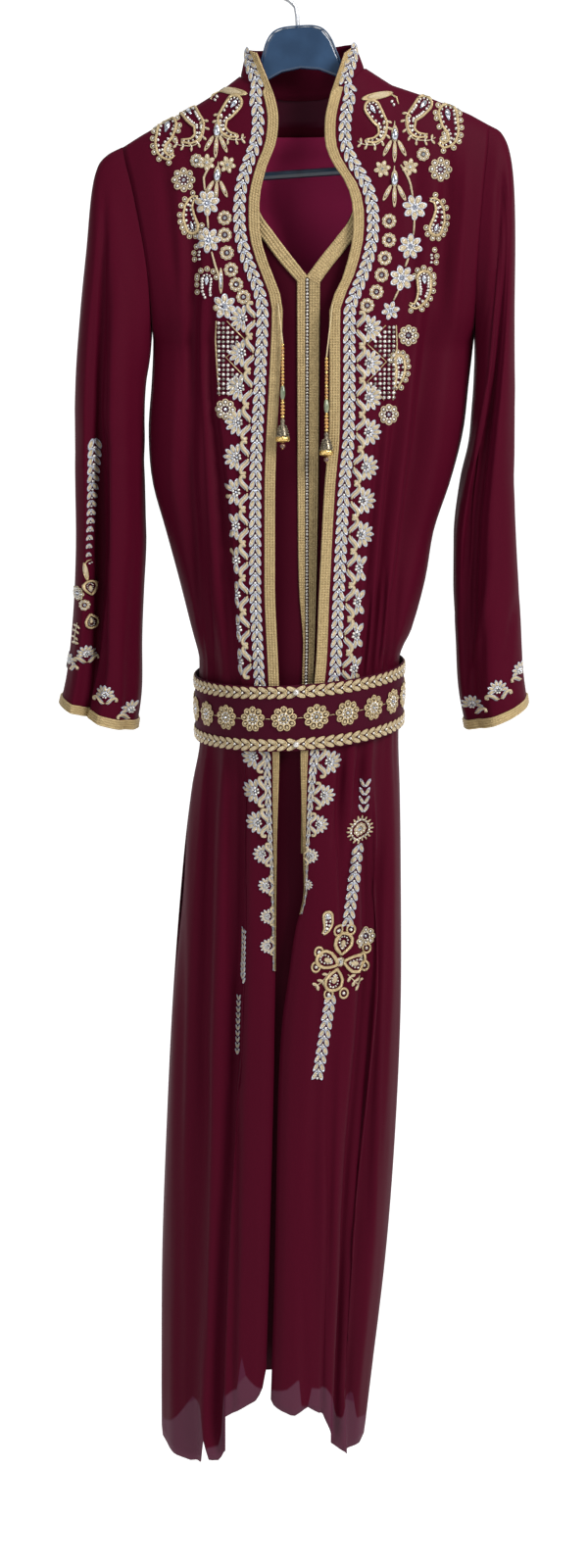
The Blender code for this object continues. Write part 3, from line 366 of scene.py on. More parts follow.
def spread(lines, pieces):
    """Columns of a panel: each line, and points between neighbours with a soft rise and fall."""
    columns = []
    for (x0, d0), (x1, d1), count in zip(lines, lines[1:], pieces):
        for i in range(count):
            t = i / count
            columns.append((lerp(x0, x1, t), lerp(d0, d1, (1 - math.cos(math.pi * t)) / 2)))
    columns.append(lines[-1])
    return columns


def front_columns(side, z):
    """X and fold depth of the robe's front panel columns at a height, from the opening to the side."""
    edge, last = opening_x(side, z), body_edge(side, z)
    roll = fold_value(EDGE_ROLL, z)
    lines = [(edge, roll), (edge + side * BRAID_WIDTH, roll * ROLL_AT_BRAID),
             (edge + side * CHAIN_INSET, roll * ROLL_AT_CHAIN),
             (edge + side * (CHAIN_INSET + CHAIN_WIDTH), 0.0)]
    for _, places, depths in RIGHT_FOLDS if side == RIGHT else LEFT_FOLDS:
        lines.append((fold_value(places, z), fold_value(depths, z)))
    lines.append((last, 0.0))
    for i in range(4, len(lines)):
        least = lines[i - 1][0] + side * FOLD_SPACING
        if (lines[i][0] - least) * side < 0:
            lines[i] = (least, lines[i][1])
    for i in range(len(lines) - 2, 3, -1):
        most = last - side * FOLD_SPACING * (len(lines) - 1 - i)
        if (lines[i][0] - most) * side > 0:
            lines[i] = (most, lines[i][1])
    return spread(lines, TRIM_PIECES + [COLUMN_STEPS] * (len(lines) - 4))


def back_columns(z):
    """X and fold depth of the robe's back panel columns at a height."""
    centre = body_centre(z)
    lines = [(body_edge(RIGHT, z), 0.0)]
    for _, turn, depths in BACK_FOLDS:
        side = RIGHT if turn < 0 else LEFT
        reach = abs(math.sin(math.radians(turn)))
        lines.append((lerp(centre, body_edge(side, z), reach), fold_value(depths, z)))
    lines.append((body_edge(LEFT, z), 0.0))
    return spread(lines, [COLUMN_STEPS] * (len(lines) - 1))


def panel_grid(columns_at, top_table, hem_column, face):
    """Rows of points of a robe panel, from the shoulder seam to the hem."""
    count = len(columns_at(TOP_SEARCH_Z))
    tops = []
    for index in range(count):
        z = TOP_SEARCH_Z
        for _ in range(SEARCH_ROUNDS):
            z = straight_between(top_table, columns_at(z)[index][0])
        tops.append(z)
    hem = [straight_between(HEM, columns_at(HEM_SEARCH_Z)[index][0], hem_column) for index in range(count)]
    steps = finer(SHOULDER_STEPS, SHOULDER_FINE)[:-1]
    heights = [[lerp(top, UNDERARM_Z, step) for top in tops] for step in steps]
    heights += [[level] * count for level in finer(LEVELS, LEVEL_FINE)[:-1]]
    heights += [[lerp(LEVELS[-1], z, step) for z in hem] for step in finer(HEM_STEPS, HEM_FINE)]
    return [[panel_point(columns_at, index, z, face) for index, z in enumerate(row)] for row in heights]


def panel_point(columns_at, index, z, face):
    x, depth = columns_at(z)[index]
    point = body_point(x, z, face)
    if depth:
        point += inward(x, z, face) * depth
    return point * MM


def grid_normals(grid, closed=False):
    """Outward normals at the points of a grid whose columns run to the right seen from outside."""
    rows, columns = len(grid), len(grid[0])
    normals = []
    for r in range(rows):
        line = []
        for c in range(columns):
            if closed:
                left, right = grid[r][c - 1], grid[r][(c + 1) % columns]
            else:
                left, right = grid[r][max(c - 1, 0)], grid[r][min(c + 1, columns - 1)]
            up, down = grid[max(r - 1, 0)][c], grid[min(r + 1, rows - 1)][c]
            line.append((right - left).cross(up - down).normalized())
        normals.append(line)
    return normals


# Collar: point along the neck, foot x, top x y z, from the right front round the back
COLLAR = [
    (0, -17.3, -35.0, -17.0, -87),
    (1, -35.0, -43.0, -9.0, -84),
    (2, -51.5, -46.0, 3.0, -82),
    (3, -43.0, -38.0, 17.0, -82),
    (4, -22.0, -18.0, 24.0, -81),
    (5, 7.0, 7.0, 26.0, -80),
    (6, 38.0, 33.0, 23.0, -79),
    (7, 60.0, 52.0, 15.0, -77),
    (8, 68.5, 60.0, 3.0, -77),
    (9, 52.0, 58.0, -8.0, -80),
    (10, 34.0, 49.0, -17.0, -87),
]
COLLAR_ROWS = 10
COLLAR_COLUMNS = 80
COLLAR_BACK = (2, 8)
COLLAR_LIFT = 1.7


def collar_grid():
    """Stand collar from its top edge to its foot on the neck seam, round the neck."""
    grid = []
    for r in range(COLLAR_ROWS):
        drop = r / (COLLAR_ROWS - 1)
        row = []
        for c in range(COLLAR_COLUMNS + 1):
            place = c * 10 / COLLAR_COLUMNS
            foot_x = smooth_between(COLLAR, place, 1)
            behind = COLLAR_BACK[0] <= place <= COLLAR_BACK[1]
            table, face = (BACK_TOP, BACK) if behind else (FRONT_TOP, FRONT)
            foot = body_point(foot_x, straight_between(table, foot_x), face)
            foot.z += COLLAR_LIFT
            top = Vector([smooth_between(COLLAR, place, k) for k in (2, 3, 4)])
            row.append(top.lerp(foot, drop) * MM)
        grid.append(row)
    return grid


# Sleeves: share of the way down, outer line x z, inner line x z, half depth
RIGHT_SLEEVE = [
    (0.00, -169.2, -174, -142.2, -360, 24),
    (0.05, -183, -181, -143.5, -372, 27),
    (0.10, -193, -192, -145.5, -384, 30),
    (0.17, -200, -218, -148.5, -400, 33),
    (0.26, -206, -270, -151.0, -425, 36),
    (0.37, -214, -335, -151.5, -460, 39),
    (0.49, -220, -410, -151.5, -505, 41),
    (0.61, -222, -495, -151.0, -560, 42),
    (0.73, -223, -570, -154.0, -612, 43),
    (0.84, -228, -640, -157.0, -665, 45),
    (0.93, -235, -693, -158.5, -715, 47),
    (1.00, -243, -730, -164.0, -757, 49),
]
LEFT_SLEEVE = [
    (0.00, 192.45, -153, 181.45, -360, 24),
    (0.05, 204, -160, 182.0, -372, 27),
    (0.10, 212, -175, 182.0, -384, 30),
    (0.17, 217, -205, 181.5, -400, 33),
    (0.26, 220, -262, 180.5, -425, 36),
    (0.37, 221.5, -330, 178.0, -460, 39),
    (0.49, 223.5, -408, 169.0, -505, 41),
    (0.61, 224.5, -495, 163.5, -555, 42),
    (0.73, 229, -570, 163.5, -612, 43),
    (0.84, 234.5, -640, 167.5, -665, 45),
    (0.93, 238.5, -693, 171.5, -715, 47),
    (1.00, 244, -730, 180.0, -757, 49),
]

# Folds of the sleeves: share of the way down, turn of the main valley, its depth, second valley's depth
RIGHT_SLEEVE_FOLD = [
    (0.00, 66, 0, 0), (0.17, 66, 3, 1), (0.30, 66, 12, 3), (0.50, 67, 20, 5),
    (0.75, 68, 24, 7), (1.00, 70, 22, 6),
]
LEFT_SLEEVE_FOLD = [
    (0.00, 60, 0, 0), (0.17, 62, 4, 2), (0.30, 78, 10, 4), (0.50, 104, 15, 6),
    (0.75, 128, 15, 7), (1.00, 140, 6, 5),
]
# Columns round a sleeve: turn when the main valley lies at 90, share of the main and second valley
SLEEVE_TURNS = [
    (0, 0.0, 0.0), (22, 0.0, 0.0), (44, 0.0, 0.0), (64, 0.0, 0.0), (74, 0.45, 0.0), (86, 1.0, 0.0),
    (98, 0.6, 0.0), (116, 0.0, 0.0), (136, 0.0, 0.0), (158, 0.0, 0.5), (178, 0.0, 0.0),
    (202, 0.0, 0.0), (226, 0.0, 0.0), (246, 0.0, 0.6), (262, 0.0, 1.0), (278, 0.0, 0.5),
    (298, 0.0, 0.0), (320, 0.0, 0.0), (342, 0.0, 0.0),
]
SLEEVE_SHARES = [0.0, 0.02, 0.05, 0.09, 0.14, 0.20, 0.27, 0.35, 0.44, 0.53, 0.62, 0.71, 0.80, 0.89, 0.95,
                 0.985, 1.0]
HEAD_SHARE = 0.12
# Deepest reach of a sleeve's fold, as a share of the way to its middle
VALLEY_LIMIT = 0.62


def between_turns(steps):
    """The sleeve's columns with steps from each to the next, rising and falling softly."""
    ring = SLEEVE_TURNS + [(360 + SLEEVE_TURNS[0][0],) + SLEEVE_TURNS[0][1:]]
    columns = []
    for low, high in zip(ring, ring[1:]):
        for i in range(steps):
            soft = (1 - math.cos(math.pi * i / steps)) / 2
            columns.append((lerp(low[0], high[0], i / steps), lerp(low[1], high[1], soft),
                            lerp(low[2], high[2], soft)))
    return columns


SLEEVE_COLUMNS = between_turns(4)


def sleeve_grid(side):
    """Rings of a sleeve from the armhole to the cuff, columns round it from the outer line."""
    table, folds = (RIGHT_SLEEVE, RIGHT_SLEEVE_FOLD) if side == RIGHT else (LEFT_SLEEVE, LEFT_SLEEVE_FOLD)
    bow = ARMHOLE[side]["bow"]
    grid = []
    for share in finer(SLEEVE_SHARES, 6):
        outer = Vector((smooth_between(table, share, 1), 0, smooth_between(table, share, 2)))
        inner = Vector((smooth_between(table, share, 3), 0, smooth_between(table, share, 4)))
        half_depth = smooth_between(table, share, 5)
        valley_turn = smooth_between(folds, share, 1)
        main, second = smooth_between(folds, share, 2), smooth_between(folds, share, 3)
        centre, arm = (outer + inner) / 2, (outer - inner) / 2
        row = []
        for base_turn, main_share, second_share in SLEEVE_COLUMNS:
            if base_turn <= 90:
                turn = base_turn * valley_turn / 90
            else:
                turn = valley_turn + (base_turn - 90) * (360 - valley_turn) / 270
            angle = math.radians(turn)
            point = centre + arm * math.cos(angle) + Vector((0, -half_depth * math.sin(angle), 0))
            fade = max(0.0, 1 - share / HEAD_SHARE)
            point.x += bow * math.sin(angle) ** 2 * fade
            into = centre - point
            depth = main * main_share + second * second_share
            point += into.normalized() * min(depth, into.length * VALLEY_LIMIT)
            row.append(point * MM)
        grid.append(row)
    if side == LEFT:
        grid = [[row[-i] for i in range(len(row))] for row in grid]
    return grid


# Under-dress tops: x, height at the front, height at the back
UNDER_TOP = [
    (-142, -100, -100), (-80, -105, -105), (-70, -133, -135), (-50, -196, -162), (-33, -237, -163),
    (11.5, -297, -163), (52, -248, -162), (71, -205, -160), (94, -124.5, -126), (102, -105, -105),
    (168, -100, -100),
]
UNDER_HEM = -1500.0
UNDER_TURN_MARKS = [-90, -72, -58, -47, -36, -25, -12, 0, 12, 25, 36, 47, 58, 72, 90]
UNDER_FOLDS = [
    # turn, depth at the chest, depth at the skirt
    (-90, 0, 0), (-58, 0, 0), (-47, 2, 7), (-36, 0, 0), (25, 0, 0), (36, 2, 6), (47, 0, 0), (58, 2, 7),
    (72, 0, 0), (90, 0, 0),
]
UNDER_LEVELS = [-330, -400, -470, -540, -600, -650, -688, -725, -762, -810, -870, -960, -1100, -1240, -1380]
UNDER_STEPS = [0.0, 0.006, 0.025, 0.07, 0.16, 0.30, 0.50, 0.74]
UNDER_ARMHOLE_INSET = 40.0
UNDER_TURNS = finer(UNDER_TURN_MARKS, 3)
UNDER_MIDDLE_X = 11.5
UNDER_MIDDLE_SHARE = 0.6
UNDER_SKIRT_TOP = -760.0
UNDER_SKIRT_SPAN = 300.0
UNDER_FOLDS_TOP = -250.0
UNDER_SEARCH_ROUNDS, UNDER_SEARCH_STEP = 20, 0.6


def under_x(turn, z):
    side = RIGHT if turn < 0 else LEFT
    reach = abs(math.sin(math.radians(turn)))
    inset = smooth_between(UNDER_INSET, z, 2)
    if z > UNDERARM_Z:
        inset += (UNDER_ARMHOLE_INSET - inset) * min(1.0, (z - UNDERARM_Z) / UNDER_ARMHOLE_BLEND)
    middle = lerp(UNDER_MIDDLE_X, body_centre(z), UNDER_MIDDLE_SHARE)
    return lerp(middle, body_edge(side, z, inset), reach)


def under_point(turn, z, face):
    x = under_x(turn, z)
    point = body_point(x, z, face, 1.0)
    skirt = clamp((UNDER_SKIRT_TOP - z) / UNDER_SKIRT_SPAN)
    depth = lerp(straight_between(UNDER_FOLDS, turn, 1), straight_between(UNDER_FOLDS, turn, 2), skirt)
    if depth and z < UNDER_FOLDS_TOP:
        point += inward(x, z, face, 1.0) * depth
    return point * MM


def under_grid(face):
    """Rows of points of the under-dress, from its neck and shoulders to its hem."""
    column = 1 if face == FRONT else 2
    tops = []
    for turn in UNDER_TURNS:
        z = TOP_SEARCH_Z
        for _ in range(UNDER_SEARCH_ROUNDS):
            x = under_x(turn, z)
            crest = straight_between(CREST, x) - UNDER_CREST_INSET
            z = lerp(z, min(crest, straight_between(UNDER_TOP, x, column)), UNDER_SEARCH_STEP)
        tops.append(z)
    steps = finer(UNDER_STEPS + [1.0], 3)[:-1]
    heights = [[lerp(top, UNDER_LEVELS[0], step) for top in tops] for step in steps]
    heights += [[level] * len(tops) for level in finer(UNDER_LEVELS + [UNDER_HEM], 3)]
    return [[under_point(turn, z, face) for turn, z in zip(UNDER_TURNS, row)] for row in heights]


# Centre front of the under-dress: height, centre x, outer edge of the right braid, of the left braid
UNDER_CENTRE = [
    (-297, 13.0, -9.7, 13.0), (-500, 13.0, -9.0, 12.0), (-600, 13.0, -7.5, 10.0), (-650, 13.0, -3.5, 8.5),
    (-700, 12.0, -3.5, 7.5), (-900, 11.0, -3.5, 7.0),
]
UNDER_BRAID_START = [1.5, 2.2]
CRYSTAL_MIDDLE = 0.3
CRYSTAL_HALF_WIDTH = 1.1
UNDER_TRIM_LEVELS = [-304, -330, -400, -470, -540, -600, -650, -688, -725, -762, -810, -870]
UNDER_TRIM_GAP = 0.7
# Neck braids of the under-dress: x and height of the upper edge, then of the lower edge
NECK_BRAID = {
    RIGHT: [(-47, -192, -58, -205), (-34, -234, -43, -245), (-19, -256, -27, -266), (-5, -274, -13, -284),
            (11.0, -294, 2.5, -301)],
    LEFT: [(65, -205, 76, -214), (56, -240, 66, -249), (42, -260, 52, -270), (28, -277, 38, -287),
           (15.0, -294, 27.5, -301)],
}
NECK_BRAID_GAP = 1.0

BELT_COLUMNS = 144
BELT_MIDDLE = -725.0
BELT_SLOPE = 0.067
BELT_HALF_HEIGHT = 33.5
BELT_EDGE_TRIM = 14.0
BELT_GAP = 2.9
BELT_WALL = 1.8 * MM

# Tassels: x and height of the tie's start, x and height of the first bead
TASSELS = {RIGHT: ((-12.0, -323), (-10.6, -361)), LEFT: ((35.0, -324), (32.3, -374))}
TIE_RADIUS = 0.7 * MM
TASSEL_LEAN = math.radians(9.0)
TIE_INSET = 3.0
TIE_STEPS = 10
TIE_SAG = 0.8
BEAD_CLEARANCE = 3.0
THREAD_GAP = 0.3
# Threaded beads from the top: how many, length, radius
BEAD_LENGTHS = [(12, 3.3, 1.7), (1, 16.0, 2.6), (5, 3.4, 2.1)]


def belt_grid(rise_low, rise_high, rows, out):
    """Rings of the belt between two rises from its middle line, moved out from the robe."""
    grid = []
    for r in range(rows + 1):
        rise = lerp(rise_high, rise_low, r / rows)
        ring = []
        for c in range(BELT_COLUMNS):
            turn = 2 * math.pi * c / BELT_COLUMNS
            level = BELT_MIDDLE
            centre = body_centre(level)
            side = RIGHT if math.cos(turn) < 0 else LEFT
            half = abs(body_edge(side, level) - centre)
            face = FRONT if math.sin(turn) < 0 else BACK
            depth = smooth_between(BODY, level, BODY_FRONT if face == FRONT else BODY_BACK)
            x = centre + (half + out) * math.cos(turn)
            y = (depth + out) * math.sin(turn)
            z = BELT_MIDDLE + rise + BELT_SLOPE * (x - centre)
            ring.append(Vector((x, y, z)) * MM)
        grid.append(ring)
    return grid


def bead_outline():
    """Outline of a string of round beads, one after the other, with narrow waists."""
    outline = [(0.0, 0.0)]
    drop = 0.0
    for count, length, radius in BEAD_LENGTHS:
        for _ in range(count):
            outline += [(drop + length * 0.04, radius * 0.5), (drop + length * 0.5, radius)]
            drop += length
    outline += [(drop - 0.1, 1.0), (drop, 0.0)]
    return outline


# Camera and light

EYE = (0.0, -2.2, -0.290)
LOOK_DOWN = math.radians(13.5)
LENS = 49.28
SENSOR = 36.0


def camera():
    """Camera a little above the middle of the robe, looking down at it."""
    data = bpy.data.cameras.new("camera")
    data.lens = LENS
    data.sensor_width = SENSOR
    data.sensor_height = SENSOR
    data.sensor_fit = "AUTO"
    data.clip_end = 30
    obj = bpy.data.objects.new("camera", data)
    obj.location = EYE
    obj.rotation_euler = (math.radians(90) - LOOK_DOWN, 0, 0)
    bpy.context.scene.collection.objects.link(obj)
    bpy.context.scene.camera = obj


def area_light(name, place, target, size, power, colour):
    data = bpy.data.lights.new(name, "AREA")
    data.shape = "RECTANGLE"
    data.size, data.size_y = size
    data.energy = power
    data.color = colour
    obj = bpy.data.objects.new(name, data)
    obj.location = place
    obj.rotation_euler = (Vector(target) - Vector(place)).to_track_quat("-Z", "Y").to_euler()
    obj.visible_camera = False
    bpy.context.scene.collection.objects.link(obj)


def studio():
    """White paper far behind the robe, and soft light from the front."""
    floor_z, back_y, half_width, bend = -2.0, 9.0, 12.0, 1.5
    profile = [(-4.0, floor_z), (back_y - bend, floor_z)]
    for i in range(1, 9):
        turn = math.radians(90 * i / 8)
        bend_y, bend_z = bend * math.sin(turn), bend * (1 - math.cos(turn))
        profile.append((back_y - bend + bend_y, floor_z + bend_z))
    profile.append((back_y, 9.0))
    points = [(x, y, z) for y, z in profile for x in (-half_width, half_width)]
    faces = [(2 * i, 2 * i + 1, 2 * i + 3, 2 * i + 2) for i in range(len(profile) - 1)]
    mesh = bpy.data.meshes.new("studio_floor")
    mesh.from_pydata(points, [], faces)
    mesh.shade_smooth()
    floor = bpy.data.objects.new("studio_floor", mesh)
    bpy.context.scene.collection.objects.link(floor)
    paper = bpy.data.materials.new("studio_paper")
    paper.use_nodes = True
    shader = paper.node_tree.nodes["Principled BSDF"]
    shader.inputs["Base Color"].default_value = (0.2, 0.2, 0.2, 1)
    shader.inputs["Roughness"].default_value = 0.9
    shader.inputs["Emission Color"].default_value = (1, 1, 1, 1)
    shader.inputs["Emission Strength"].default_value = 1.0
    mesh.materials.append(paper)
    world = bpy.data.worlds.new("studio_air")
    bpy.context.scene.world = world
    world.use_nodes = True
    air = world.node_tree.nodes["Background"]
    air.inputs["Color"].default_value = (1.0, 1.0, 1.0, 1)
    air.inputs["Strength"].default_value = 0.22
    area_light("window", (2.0, -1.8, 1.3), (0, 0, -0.6), (1.0, 1.6), 104, (1.0, 0.98, 0.96))
    area_light("fill", (-1.7, -2.3, 0.2), (0, 0, -0.8), (1.6, 2.4), 22, (0.95, 0.97, 1.0))
    area_light("sky", (0, -0.6, 2.6), (0, 0.2, -0.8), (3.0, 1.0), 34, (1.0, 1.0, 1.0))
    bpy.context.scene.view_settings.view_transform = "Standard"


# Node groups that several finishes share

def add_node(tree, kind, values=(), **settings):
    """A shader node with its settings, and the values of some of its inputs."""
    made = tree.nodes.new("ShaderNode" + kind)
    for key, value in settings.items():
        setattr(made, key, value)
    for key, value in values:
        made.inputs[key].default_value = value
    return made


def join(tree, *wires):
    """Wires of a tree: node, its output, next node, its input."""
    for start, output, end, entry in wires:
        tree.links.new(start.outputs[output], end.inputs[entry])


def group_base(name, inputs, outputs):
    group = bpy.data.node_groups.new(name, "ShaderNodeTree")
    for label, kind, value in inputs:
        socket = group.interface.new_socket(name=label, in_out="INPUT", socket_type=kind)
        socket.default_value = value
    for label, kind in outputs:
        group.interface.new_socket(name=label, in_out="OUTPUT", socket_type=kind)
    return group, group.nodes.new("NodeGroupInput"), group.nodes.new("NodeGroupOutput")


def crepe_group():
    """Crepe weave of the georgette: fine pebbling, faint threads and soft patches of shade."""
    group, start, end = group_base(
        "crepe_weave",
        [("Cloth", "NodeSocketColor", (0.1, 0.01, 0.03, 1)),
         ("Shade", "NodeSocketColor", (0.05, 0.01, 0.02, 1)),
         ("Thread", "NodeSocketFloat", 900.0), ("Depth", "NodeSocketFloat", 0.25)],
        [("Color", "NodeSocketColor"), ("Normal", "NodeSocketVector"), ("Roughness", "NodeSocketFloat")])
    place = add_node(group, "TexCoord")
    pebble = add_node(group, "TexNoise", [("Detail", 3.0)])
    patches = add_node(group, "TexNoise", [("Scale", 14.0), ("Detail", 4.0)])
    stretch = add_node(group, "Mapping", [("Scale", (1.0, 1.0, 0.25))])
    both = add_node(group, "Math", [(1, 0.55)], operation="MULTIPLY_ADD")
    soft = add_node(group, "Math", [(1, 0.5)], operation="MULTIPLY")
    mix = add_node(group, "Mix", data_type="RGBA")
    bump = add_node(group, "Bump", [("Distance", 0.0004)])
    rough = add_node(group, "MapRange", [("To Min", 0.5), ("To Max", 0.78)])
    join(group, (place, "Object", pebble, "Vector"), (start, "Thread", pebble, "Scale"),
         (place, "Object", stretch, "Vector"), (stretch, "Vector", patches, "Vector"),
         (pebble, "Fac", both, 0), (patches, "Fac", soft, 0), (soft, "Value", both, 2),
         (both, "Value", mix, "Factor"), (start, "Shade", mix, "A"), (start, "Cloth", mix, "B"),
         (start, "Depth", bump, "Strength"), (pebble, "Fac", bump, "Height"),
         (patches, "Fac", rough, "Value"), (mix, "Result", end, "Color"),
         (bump, "Normal", end, "Normal"), (rough, "Result", end, "Roughness"))
    return group


def thread_group():
    """Fine twisted thread: close ridges across the piece, painted shade in the grooves between them, and a
    little wear in the colour.
    """
    group, start, end = group_base(
        "twisted_thread",
        [("Light", "NodeSocketColor", (0.8, 0.7, 0.5, 1)), ("Dark", "NodeSocketColor", (0.4, 0.3, 0.15, 1)),
         ("Twist", "NodeSocketFloat", 1500.0), ("Depth", "NodeSocketFloat", 0.4)],
        [("Color", "NodeSocketColor"), ("Normal", "NodeSocketVector")])
    place = add_node(group, "TexCoord")
    twist = add_node(group, "TexWave", [("Distortion", 1.5), ("Detail", 2.0)], bands_direction="DIAGONAL")
    worn = add_node(group, "TexNoise", [("Scale", 260.0), ("Detail", 3.0)])
    # Painted shade: the colour turns dark where the twist's bump is low, in its grooves, mixed with random
    # wear.
    groove_shade_and_wear = add_node(group, "Math", [(1, 0.5)], operation="MULTIPLY_ADD")
    half = add_node(group, "Math", [(1, 0.7)], operation="MULTIPLY")
    mix = add_node(group, "Mix", data_type="RGBA")
    bump = add_node(group, "Bump", [("Distance", 0.0003)])
    join(group, (place, "Object", twist, "Vector"), (start, "Twist", twist, "Scale"),
         (place, "Object", worn, "Vector"), (twist, "Fac", groove_shade_and_wear, 0), (worn, "Fac", half, 0),
         (half, "Value", groove_shade_and_wear, 2), (groove_shade_and_wear, "Value", mix, "Factor"), (start, "Dark", mix, "A"),
         (start, "Light", mix, "B"), (start, "Depth", bump, "Strength"), (twist, "Fac", bump, "Height"),
         (mix, "Result", end, "Color"), (bump, "Normal", end, "Normal"))
    return group


CREPE = crepe_group()
THREAD = thread_group()


def blank(name, roughness, metallic=0.0):
    """A finish, its tree and its shader."""
    made = bpy.data.materials.new(name)
    made.use_nodes = True
    shader = made.node_tree.nodes["Principled BSDF"]
    shader.inputs["Roughness"].default_value = roughness
    shader.inputs["Metallic"].default_value = metallic
    return made, made.node_tree, shader


def crepe_cloth(name, cloth, shade, thread=900.0, depth=0.25, sheer=False):
    """Wine georgette; where it is sheer its lining ends above the hem, the cloth is a little see-through, and
    a lighter pink is painted on for the light that comes through.
    """
    made, tree, shader = blank(name, 0.6)
    weave = add_node(tree, "Group", [("Cloth", (*cloth, 1)), ("Shade", (*shade, 1)), ("Thread", thread),
                                     ("Depth", depth)], node_tree=CREPE)
    join(tree, (weave, "Color", shader, "Base Color"), (weave, "Normal", shader, "Normal"),
         (weave, "Roughness", shader, "Roughness"))
    for key, value in (("Sheen Weight", 0.02), ("Sheen Roughness", 0.4), ("Sheen Tint", (0.9, 0.45, 0.55, 1)),
                       ("Specular IOR Level", 0.05)):
        shader.inputs[key].default_value = value
    if sheer:
        # Painted light: where the cloth is unlined, a lighter pink stands for the light that shines through
        # the sheer cloth.
        painted_see_through_light = add_node(tree, "Mix", [("A", (0.085, 0.014, 0.036, 1))], data_type="RGBA")
        lined = add_node(tree, "Attribute", attribute_name="lined")
        alpha = add_node(tree, "MapRange", [("To Min", 0.89), ("To Max", 1.0)])
        join(tree, (weave, "Color", painted_see_through_light, "B"), (painted_see_through_light, "Result", shader, "Base Color"),
             (lined, "Fac", alpha, "Value"), (lined, "Fac", painted_see_through_light, "Factor"),
             (alpha, "Result", shader, "Alpha"))
    return made


def thread_finish(name, light, dark, roughness, metallic, twist=1500.0, depth=0.4):
    """Twisted thread in one colour; its darker tone is painted shade in the twist's grooves, and wear."""
    made, tree, shader = blank(name, roughness, metallic)
    cord = add_node(tree, "Group", [("Light", (*light, 1)), ("Dark", (*dark, 1)), ("Twist", twist),
                                    ("Depth", depth)], node_tree=THREAD)
    join(tree, (cord, "Color", shader, "Base Color"), (cord, "Normal", shader, "Normal"))
    return made


def speckled(name, light, dark, scale, roughness, metallic, coat=0.0, bump_depth=0.15):
    """Plain hard finish with uneven colour and tiny dents."""
    made, tree, shader = blank(name, roughness, metallic)
    place = add_node(tree, "TexCoord")
    spots = add_node(tree, "TexNoise", [("Scale", scale), ("Detail", 4.0)])
    ramp = add_node(tree, "ValToRGB")
    low, high = ramp.color_ramp.elements
    low.position, low.color = 0.35, (*dark, 1)
    high.position, high.color = 0.65, (*light, 1)
    bump = add_node(tree, "Bump", [("Strength", bump_depth), ("Distance", 0.0002)])
    join(tree, (place, "Object", spots, "Vector"), (spots, "Fac", ramp, "Fac"),
         (ramp, "Color", shader, "Base Color"), (spots, "Fac", bump, "Height"),
         (bump, "Normal", shader, "Normal"))
    shader.inputs["Coat Weight"].default_value = coat
    shader.inputs["Coat Roughness"].default_value = 0.15
    return made


GEORGETTE = ((0.074, 0.0014, 0.0128), (0.042, 0.0009, 0.0075))
ROBE_CLOTH = crepe_cloth("robe_georgette_cloth", *GEORGETTE, sheer=True)
SLEEVE_CLOTH = crepe_cloth("sleeve_georgette_cloth", *GEORGETTE)
LINING_CLOTH = crepe_cloth("under_dress_satin", (0.050, 0.0010, 0.009), (0.032, 0.0007, 0.006), 1400.0, 0.12)
# Painted light: the inside of the under-dress's back is the same wine satin, painted about ten times brighter
# for the light that falls on it through the neck.
LIT_INNER_CLOTH = crepe_cloth("under_dress_inside_painted_light", (0.50, 0.030, 0.125), (0.38, 0.022, 0.095), 1400.0, 0.12)
BELT_CLOTH = crepe_cloth("belt_silk", (0.060, 0.0035, 0.015), (0.034, 0.0022, 0.009), 1200.0)
BRAID_GOLD = thread_finish("knitted_gold_braid", (0.60, 0.46, 0.23), (0.26, 0.17, 0.07), 0.42, 0.25)
BRAID_DULL = thread_finish("knitted_dull_braid", (0.55, 0.42, 0.21), (0.22, 0.15, 0.06), 0.5, 0.25)
PETAL_CREAM = thread_finish("cream_satin_stitch",
                            (0.66, 0.55, 0.36), (0.42, 0.32, 0.18), 0.38, 0.1, 2600.0, 0.6)
CORD_SILVER = thread_finish("silver_cord", (0.70, 0.73, 0.82), (0.30, 0.32, 0.38), 0.3, 0.45, 2200.0, 0.5)
CORD_GOLD = thread_finish("gold_cord", (0.72, 0.58, 0.34), (0.36, 0.24, 0.10), 0.35, 0.4, 2200.0, 0.5)
BEAD_SILVER = speckled("silver_beads", (0.86, 0.84, 0.80), (0.45, 0.42, 0.38), 500.0, 0.22, 0.55)
CRYSTAL = speckled("cut_crystals", (0.75, 0.80, 0.90), (0.35, 0.38, 0.45), 380.0, 0.06, 0.75, coat=1.0)
BEAD_DARK = speckled("smoky_beads", (0.42, 0.38, 0.34), (0.12, 0.10, 0.09), 420.0, 0.2, 0.6)
EMBROIDERY = [PETAL_CREAM, CORD_SILVER, BEAD_SILVER, CRYSTAL, CORD_GOLD, BEAD_DARK]
CREAM, SILVER, PEARL, GEM, GOLD, SMOKE = range(6)


def link_piece(name, points, faces, finishes, picks=None, smooth=True):
    """A mesh piece of points and faces with its finishes."""
    mesh = bpy.data.meshes.new(name)
    mesh.from_pydata(points, [], faces)
    for finish in finishes:
        mesh.materials.append(finish)
    if picks:
        mesh.polygons.foreach_set("material_index", picks)
    if smooth is True:
        mesh.shade_smooth()
    elif smooth:
        mesh.polygons.foreach_set("use_smooth", smooth)
    mesh.update()
    obj = bpy.data.objects.new(name, mesh)
    bpy.context.scene.collection.objects.link(obj)
    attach(obj, "root")
    return obj


# Cloth shells

CLOTH_THICKNESS = 0.9 * MM


def moved_out(grid, rise, closed=False):
    """The grid moved along its normals by a rise worked out from each point, in millimetres."""
    normals = grid_normals(grid, closed)
    return [[p + n * (rise(p) * MM) for p, n in zip(row, line)] for row, line in zip(grid, normals)]


